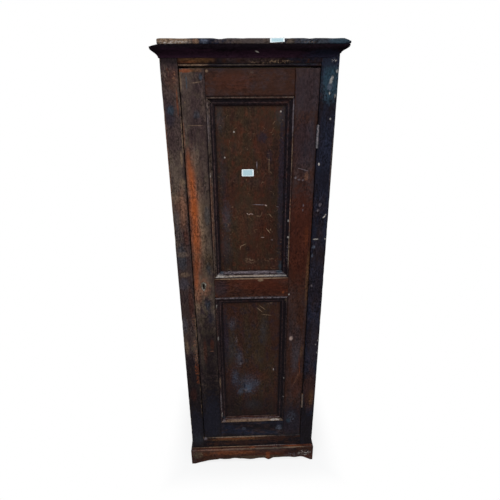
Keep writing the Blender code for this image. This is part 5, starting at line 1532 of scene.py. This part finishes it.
class MEATSAFE_OT_nails(bpy.types.Operator):
    """Nails in the back and top, brads in the plinth and mouldings, pins in the escutcheon"""

    bl_idname = "meatsafe.nails"
    bl_label = "Nails"
    bl_options = {"REGISTER", "UNDO"}

    def execute(self, context):
        settings = sizes()
        tree = nail_tree()
        iron = old_metal("nail_iron", "iron", "rust", "iron", metallic=0.4, rub=0.3)
        nails = {"Radius": settings.nail_radius, "Height": settings.nail_height, "Seed": settings.seed,
                 "Material": iron}
        brads = {**nails, "Radius": settings.brad_radius, "Height": settings.brad_height}
        fasteners("back_nails", self.back_places(), tree, nails, "carcass", "dark_iron")
        fasteners("top_nails", self.top_places(), tree, nails, "carcass", "dark_iron")
        fasteners("carcass_brads", self.plinth_places(), tree, brads, "carcass", "dark_iron")
        fasteners("door_brads", self.moulding_places(), tree, brads, "door", "dark_iron")
        brass = old_metal("brass_pins", "brass", "tarnish", "brass", metallic=0.8, rub=0.8)
        pins = {**brads, "Material": brass}
        fasteners("escutcheon_pins", self.escutcheon_places(), tree, pins, "door", "old_brass")
        return {"FINISHED"}

    def back_places(self):
        """Two nails in each back board at each level that carries it."""
        levels = [sum(corner.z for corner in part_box(node)) / 2 for node in ("bottom_board", *SHELVES)]
        levels.append(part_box("left_side")[1].z - BACK_NAIL_DROP)
        places = []
        for node in BACK_BOARDS:
            low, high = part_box(node)
            for share in BACK_NAIL_SHARES:
                x = low.x + share * (high.x - low.x)
                places += [(Vector((x, high.y, z)), REARWARD) for z in levels]
        return places

    def top_places(self):
        """Nails through the top board into the sides and the front rail."""
        low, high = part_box("top_board")
        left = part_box("left_side")
        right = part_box("right_side")
        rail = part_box("top_face_rail")
        places = []
        for side in (left, right):
            x = (side[0].x + side[1].x) / 2
            for share in TOP_NAIL_SHARES:
                places.append((Vector((x, low.y + share * (high.y - low.y), high.z)), UPWARD))
        y = (rail[0].y + rail[1].y) / 2
        sag = 1 - (y - low.y) / sizes().sag_reach
        for x in steps_between(left[1].x, right[0].x, TOP_NAIL_SPACING):
            places.append((Vector((x, y, high.z - sag * swell_at(x, TOP_DIPS))), UPWARD))
        return places

    def plinth_places(self):
        """Brads along the plinth and its returns."""
        places = []
        low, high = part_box("plinth_front")
        z = low.z + PLINTH_BRAD_SHARE * (high.z - low.z)
        for x in steps_between(low.x, high.x, PLINTH_BRAD_SPACING):
            places.append((Vector((x, low.y, z)), FRONTWARD))
        for node, facing in (("plinth_left", LEFTWARD), ("plinth_right", RIGHTWARD)):
            low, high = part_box(node)
            x = low.x if facing.x < 0 else high.x
            for y in steps_between(low.y, high.y, RETURN_BRAD_SPACING):
                places.append((Vector((x, y, z)), facing))
        return places

    def moulding_places(self):
        """Brads in the flat of each upright panel moulding."""
        places = []
        for panel in ("upper", "lower"):
            for side in ("left", "right"):
                low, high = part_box(panel + "_moulding_" + side)
                inset = MOULDING_BRAD_SHARE * (high.x - low.x)
                x = low.x + inset if side == "left" else high.x - inset
                for z in steps_between(low.z, high.z, MOULDING_BRAD_SPACING):
                    places.append((Vector((x, low.y, z)), FRONTWARD))
        return places

    def escutcheon_places(self):
        """A pin near the top and the point of the escutcheon."""
        low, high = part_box("escutcheon")
        radius = sizes().brad_radius
        x = (low.x + high.x) / 2
        levels = (low.z + POINT_INSET * radius, high.z - PIN_INSET * radius)
        return [(Vector((x, low.y, z)), FRONTWARD) for z in levels]


PLAIN_ROWS = 2  # rows of holes that the zinc's margin takes the place of
TACK_RADIUS = 0.8  # as a share of a nail's, like the height
TACK_HEIGHT = 0.6
TACK_INSET = 0.8  # from the edge of the zinc, as a share of its pitch


class MEATSAFE_OT_vent_zinc(bpy.types.Operator):
    """Perforated zinc behind the vents, held by tacks"""

    bl_idname = "meatsafe.vent_zinc"
    bl_label = "Vent Zinc"
    bl_options = {"REGISTER", "UNDO"}

    def execute(self, context):
        settings = sizes()
        pitch = settings.zinc_pitch
        sheet_tree = zinc_tree()
        finish = old_metal("vent_zinc", "zinc", "zinc", "oxide", metallic=0.75, rub=0.6)
        tack_tree = nail_tree()
        tacks = {"Radius": settings.nail_radius * TACK_RADIUS, "Height": settings.nail_height * TACK_HEIGHT,
                 "Seed": settings.seed, "Material": finish}
        for side, inward in (("left", 1), ("right", -1)):
            node = "vent_gauze_" + side
            low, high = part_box(node)
            width = high.y - low.y
            height = high.z - low.z
            obj = link("zinc_" + side, bpy.data.meshes.new("zinc_" + side))
            add_tree(obj, sheet_tree, {
                "Pitch": pitch, "Hole radius": settings.zinc_hole,
                "Columns": int(width / pitch) - PLAIN_ROWS, "Rows": int(height / pitch) - PLAIN_ROWS,
                "Sheet width": width, "Sheet height": height, "Material": finish})
            thicken = obj.modifiers.new("sheet", "SOLIDIFY")
            thicken.thickness = high.x - low.x
            thicken.offset = 0.0
            make_plain(obj)
            stand_up = Matrix(((0, 0, inward), (inward, 0, 0), (0, 1, 0))).to_4x4()
            obj.data.transform(Matrix.Translation((low + high) / 2) @ stand_up)
            settle(obj, "carcass", "zinc", node)
            places = self.tack_places(low, high, inward, pitch * TACK_INSET)
            fasteners("tacks_" + side, places, tack_tree, tacks, "carcass", "zinc")
        return {"FINISHED"}

    def tack_places(self, low, high, inward, inset):
        """Tacks at the corners of a sheet and halfway along its edges."""
        middle = (low + high) / 2
        face = high.x if inward > 0 else low.x
        places = []
        for y in (low.y + inset, middle.y, high.y - inset):
            for z in (low.z + inset, middle.z, high.z - inset):
                if (y, z) != (middle.y, middle.z):
                    places.append((Vector((face, y, z)), inward * RIGHTWARD))
        return places


PANEL_LABEL = Vector((-0.0105, PANEL_Y, 1.3975))
TOP_LABEL = Vector((0.0825, TOP_Y, 1.8043))
TOP_LABEL_LEAN = math.radians(-2.4)
TOP_LABEL_CORNER = 0.25  # of the panel label's
CORNER_STEPS = 4
LABEL_RINGS = (1.0, 0.66, 0.33)  # shares of a label's outline
LABEL_FLAT = 0.6  # how far from its middle to its lower right corner a label lies flat
PAPER_SHARE = 0.8  # of a label's thickness; the rest is glue


class MEATSAFE_OT_labels(bpy.types.Operator):
    """Paper labels on the upper panel and the top edge"""

    bl_idname = "meatsafe.labels"
    bl_label = "Labels"
    bl_options = {"REGISTER", "UNDO"}

    def execute(self, context):
        settings = sizes()
        corner = settings.label_corner
        panel_size = (settings.label_width, settings.label_height)
        top_size = (settings.top_label_width, settings.top_label_height)
        panel = self.label("panel_label", PANEL_LABEL, *panel_size, corner, 0.0)
        settle(panel, "door", "panel_wood")
        top = self.label("top_label", TOP_LABEL, *top_size, corner * TOP_LABEL_CORNER, TOP_LABEL_LEAN)
        settle(top, "carcass", "weathered_wood")
        return {"FINISHED"}

    def outline(self, width, height, corner):
        """The points of a rounded rectangle."""
        points = []
        for quarter in range(4):
            towards = math.pi / 4 + math.pi / 2 * quarter
            x = math.copysign(width / 2 - corner, math.cos(towards))
            z = math.copysign(height / 2 - corner, math.sin(towards))
            for step in range(CORNER_STEPS + 1):
                angle = math.pi / 2 * (quarter + step / CORNER_STEPS)
                points.append((x + corner * math.cos(angle), z + corner * math.sin(angle)))
        return points

    def thicken(self, bm, border, thickness):
        """Give a sheet its rear side and its rim, with the faces in the same order each run."""
        bm.normal_update()
        rear = {vert: bm.verts.new(vert.co - thickness * vert.normal) for vert in list(bm.verts)}
        for face in list(bm.faces):
            bm.faces.new([rear[vert] for vert in reversed(list(face.verts))])
        for vert, after in zip(border, border[1:] + border[:1]):
            bm.faces.new((after, vert, rear[vert], rear[after]))

    def label(self, name, centre, width, height, corner, lean):
        """One rounded sheet, lifting a little at its lower right corner."""
        thickness = sizes().label_thickness
        outline = self.outline(width, height, corner)
        bm = bmesh.new()
        rings = []
        for share in LABEL_RINGS:
            ring = []
            for x, z in outline:
                lift = 2 * thickness * max(0.0, share * (x / width - z / height) - LABEL_FLAT)
                ring.append(bm.verts.new((x * share, -thickness - lift, z * share)))
            rings.append(ring)
        hub = bm.verts.new((0, -thickness, 0))
        count = len(outline)
        for outer, inner in zip(rings, rings[1:]):
            for index in range(count):
                after = (index + 1) % count
                bm.faces.new((outer[index], outer[after], inner[after], inner[index]))
        for index in range(count):
            bm.faces.new((rings[-1][index], rings[-1][(index + 1) % count], hub))
        turn = Matrix.Translation(centre) @ Matrix.Rotation(lean, 4, "Y")
        bmesh.ops.transform(bm, matrix=turn, verts=bm.verts)
        self.thicken(bm, rings[0], thickness * PAPER_SHARE)
        finish = label_paper(name, centre.x, centre.z, width / 2, height / 2)
        return link(name, finish_mesh(bm, name, finish))


LIGHTS_AIM = Vector((0.0, 0.0, 0.9))
KEY_PLACE = Vector((-0.5, -1.9, 3.7))
KEY_SIZE = 2.6
FILL_PLACE = Vector((0.9, -3.4, 1.9))
FILL_SIZE = 2.4


class MEATSAFE_OT_stage(bpy.types.Operator):
    """Pale floor, white background, soft light and camera"""

    bl_idname = "meatsafe.stage"
    bl_label = "Stage"
    bl_options = {"REGISTER", "UNDO"}

    def execute(self, context):
        stage = context.scene.meat_safe_stage
        context.scene.view_settings.view_transform = "Standard"
        self.floor(stage)
        self.sky(stage)
        self.lamp("overhead_light", KEY_PLACE, KEY_SIZE, stage.key_power, stage.sky_tone)
        self.lamp("front_light", FILL_PLACE, FILL_SIZE, stage.fill_power, stage.fill_tone)
        self.camera(stage)
        return {"FINISHED"}

    def floor(self, stage):
        """A pale floor that fades to the white of the background away from the object."""
        finish = Finish("pale_floor")
        seen = finish.is_seen()
        finish.set(base_color=finish.mix(seen, (*stage.floor_bounce, 1.0), (*stage.floor_tone, 1.0)),
                   roughness=0.9, specular_ior_level=0.1)
        place = finish.split(finish.place)
        reach = CAD_BOX[1]
        away = finish.math("MAXIMUM",
                           finish.math("SUBTRACT", finish.math("ABSOLUTE", place["X"]), reach.x),
                           finish.math("SUBTRACT", finish.math("ABSOLUTE", place["Y"]), reach.y))
        fade = finish.between(away, 0.0, stage.shadow_reach, stage.floor_white, 1.0)
        glow = finish.add("ShaderNodeEmission")["Emission"]
        blend = finish.add("ShaderNodeMixShader", {
            0: finish.math("MULTIPLY", seen, fade), 1: finish.shader.outputs["BSDF"], 2: glow})
        finish.put(finish.nodes["Material Output"].inputs["Surface"], blend["Shader"])
        bm = bmesh.new()
        bmesh.ops.create_grid(bm, x_segments=2, y_segments=2, size=stage.floor_size / 2)
        mesh = bpy.data.meshes.new("floor")
        bm.to_mesh(mesh)
        bm.free()
        mesh.materials.append(finish.material)
        link("floor", mesh)

    def sky(self, stage):
        """Soft light from all round, seen as plain white."""
        world = bpy.data.worlds.new("studio")
        bpy.context.scene.world = world
        world.use_nodes = True
        tree = Tree(world.node_tree)
        lit = tree.nodes["Background"]
        tree.put(lit.inputs["Color"], (*stage.sky_tone, 1.0))
        tree.put(lit.inputs["Strength"], stage.sky_level)
        white = tree.add("ShaderNodeBackground", {"Color": (1.0, 1.0, 1.0, 1.0)})["Background"]
        blend = tree.add("ShaderNodeMixShader", {0: tree.is_seen(), 1: lit.outputs["Background"], 2: white})
        tree.put(tree.nodes["World Output"].inputs["Surface"], blend["Shader"])

    def lamp(self, name, place, size, power, colour):
        """A square soft light that looks at the object."""
        data = bpy.data.lights.new(name, "AREA")
        data.size = size
        data.energy = power
        data.color = colour
        lamp = bpy.data.objects.new(name, data)
        lamp.location = place
        lamp.rotation_euler = (LIGHTS_AIM - place).to_track_quat("-Z", "Y").to_euler()
        bpy.context.scene.collection.objects.link(lamp)

    def camera(self, stage):
        """The camera where the photograph was taken from."""
        pitch, yaw, roll = stage.camera_pitch, stage.camera_yaw, stage.camera_roll
        forward = Vector((math.sin(yaw) * math.cos(pitch), math.cos(yaw) * math.cos(pitch), -math.sin(pitch)))
        level = Vector((math.cos(yaw), -math.sin(yaw), 0))
        down = forward.cross(level)
        across = math.cos(roll) * level + math.sin(roll) * down
        upright = math.sin(roll) * level - math.cos(roll) * down
        turn = Matrix((across, upright, -forward)).transposed().to_4x4()
        data = bpy.data.cameras.new("camera")
        data.lens = stage.lens
        camera = bpy.data.objects.new("camera", data)
        camera.matrix_world = Matrix.Translation(stage.camera_place) @ turn
        bpy.context.scene.collection.objects.link(camera)
        bpy.context.scene.camera = camera


OPERATORS = (
    MEATSAFE_OT_face_frame, MEATSAFE_OT_cornice, MEATSAFE_OT_plinth, MEATSAFE_OT_top_board,
    MEATSAFE_OT_door_frame, MEATSAFE_OT_door_panels, MEATSAFE_OT_case_boards, MEATSAFE_OT_ironwork,
    MEATSAFE_OT_screws, MEATSAFE_OT_nails, MEATSAFE_OT_vent_zinc, MEATSAFE_OT_labels, MEATSAFE_OT_stage,
)


class MEATSAFE_PT_sidebar(bpy.types.Panel):
    """Sidebar panel that lists the pieces"""

    bl_idname = "MEATSAFE_PT_sidebar"
    bl_label = "Meat Safe"
    bl_space_type = "VIEW_3D"
    bl_region_type = "UI"
    bl_category = "Meat Safe"

    def draw(self, context):
        for operator in OPERATORS:
            self.layout.operator(operator.bl_idname)


SETTINGS = {
    "meat_safe_sizes": MeatSafeSizes,
    "meat_safe_tones": MeatSafeTones,
    "meat_safe_stage": MeatSafeStage,
}
CLASSES = (*SETTINGS.values(), *OPERATORS, MEATSAFE_PT_sidebar)


def register():
    """Make the settings, operators and panel known."""
    for cls in CLASSES:
        bpy.utils.register_class(cls)
    for name, group in SETTINGS.items():
        setattr(bpy.types.Scene, name, PointerProperty(type=group))


def unregister():
    """Take them away again."""
    for name in SETTINGS:
        delattr(bpy.types.Scene, name)
    for cls in reversed(CLASSES):
        bpy.utils.unregister_class(cls)


def main():
    """Dress the frame piece by piece."""
    register()
    for operator in OPERATORS:
        group, name = operator.bl_idname.split(".")
        getattr(getattr(bpy.ops, group), name)()
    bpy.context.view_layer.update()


if __name__ == "__main__":
    main()
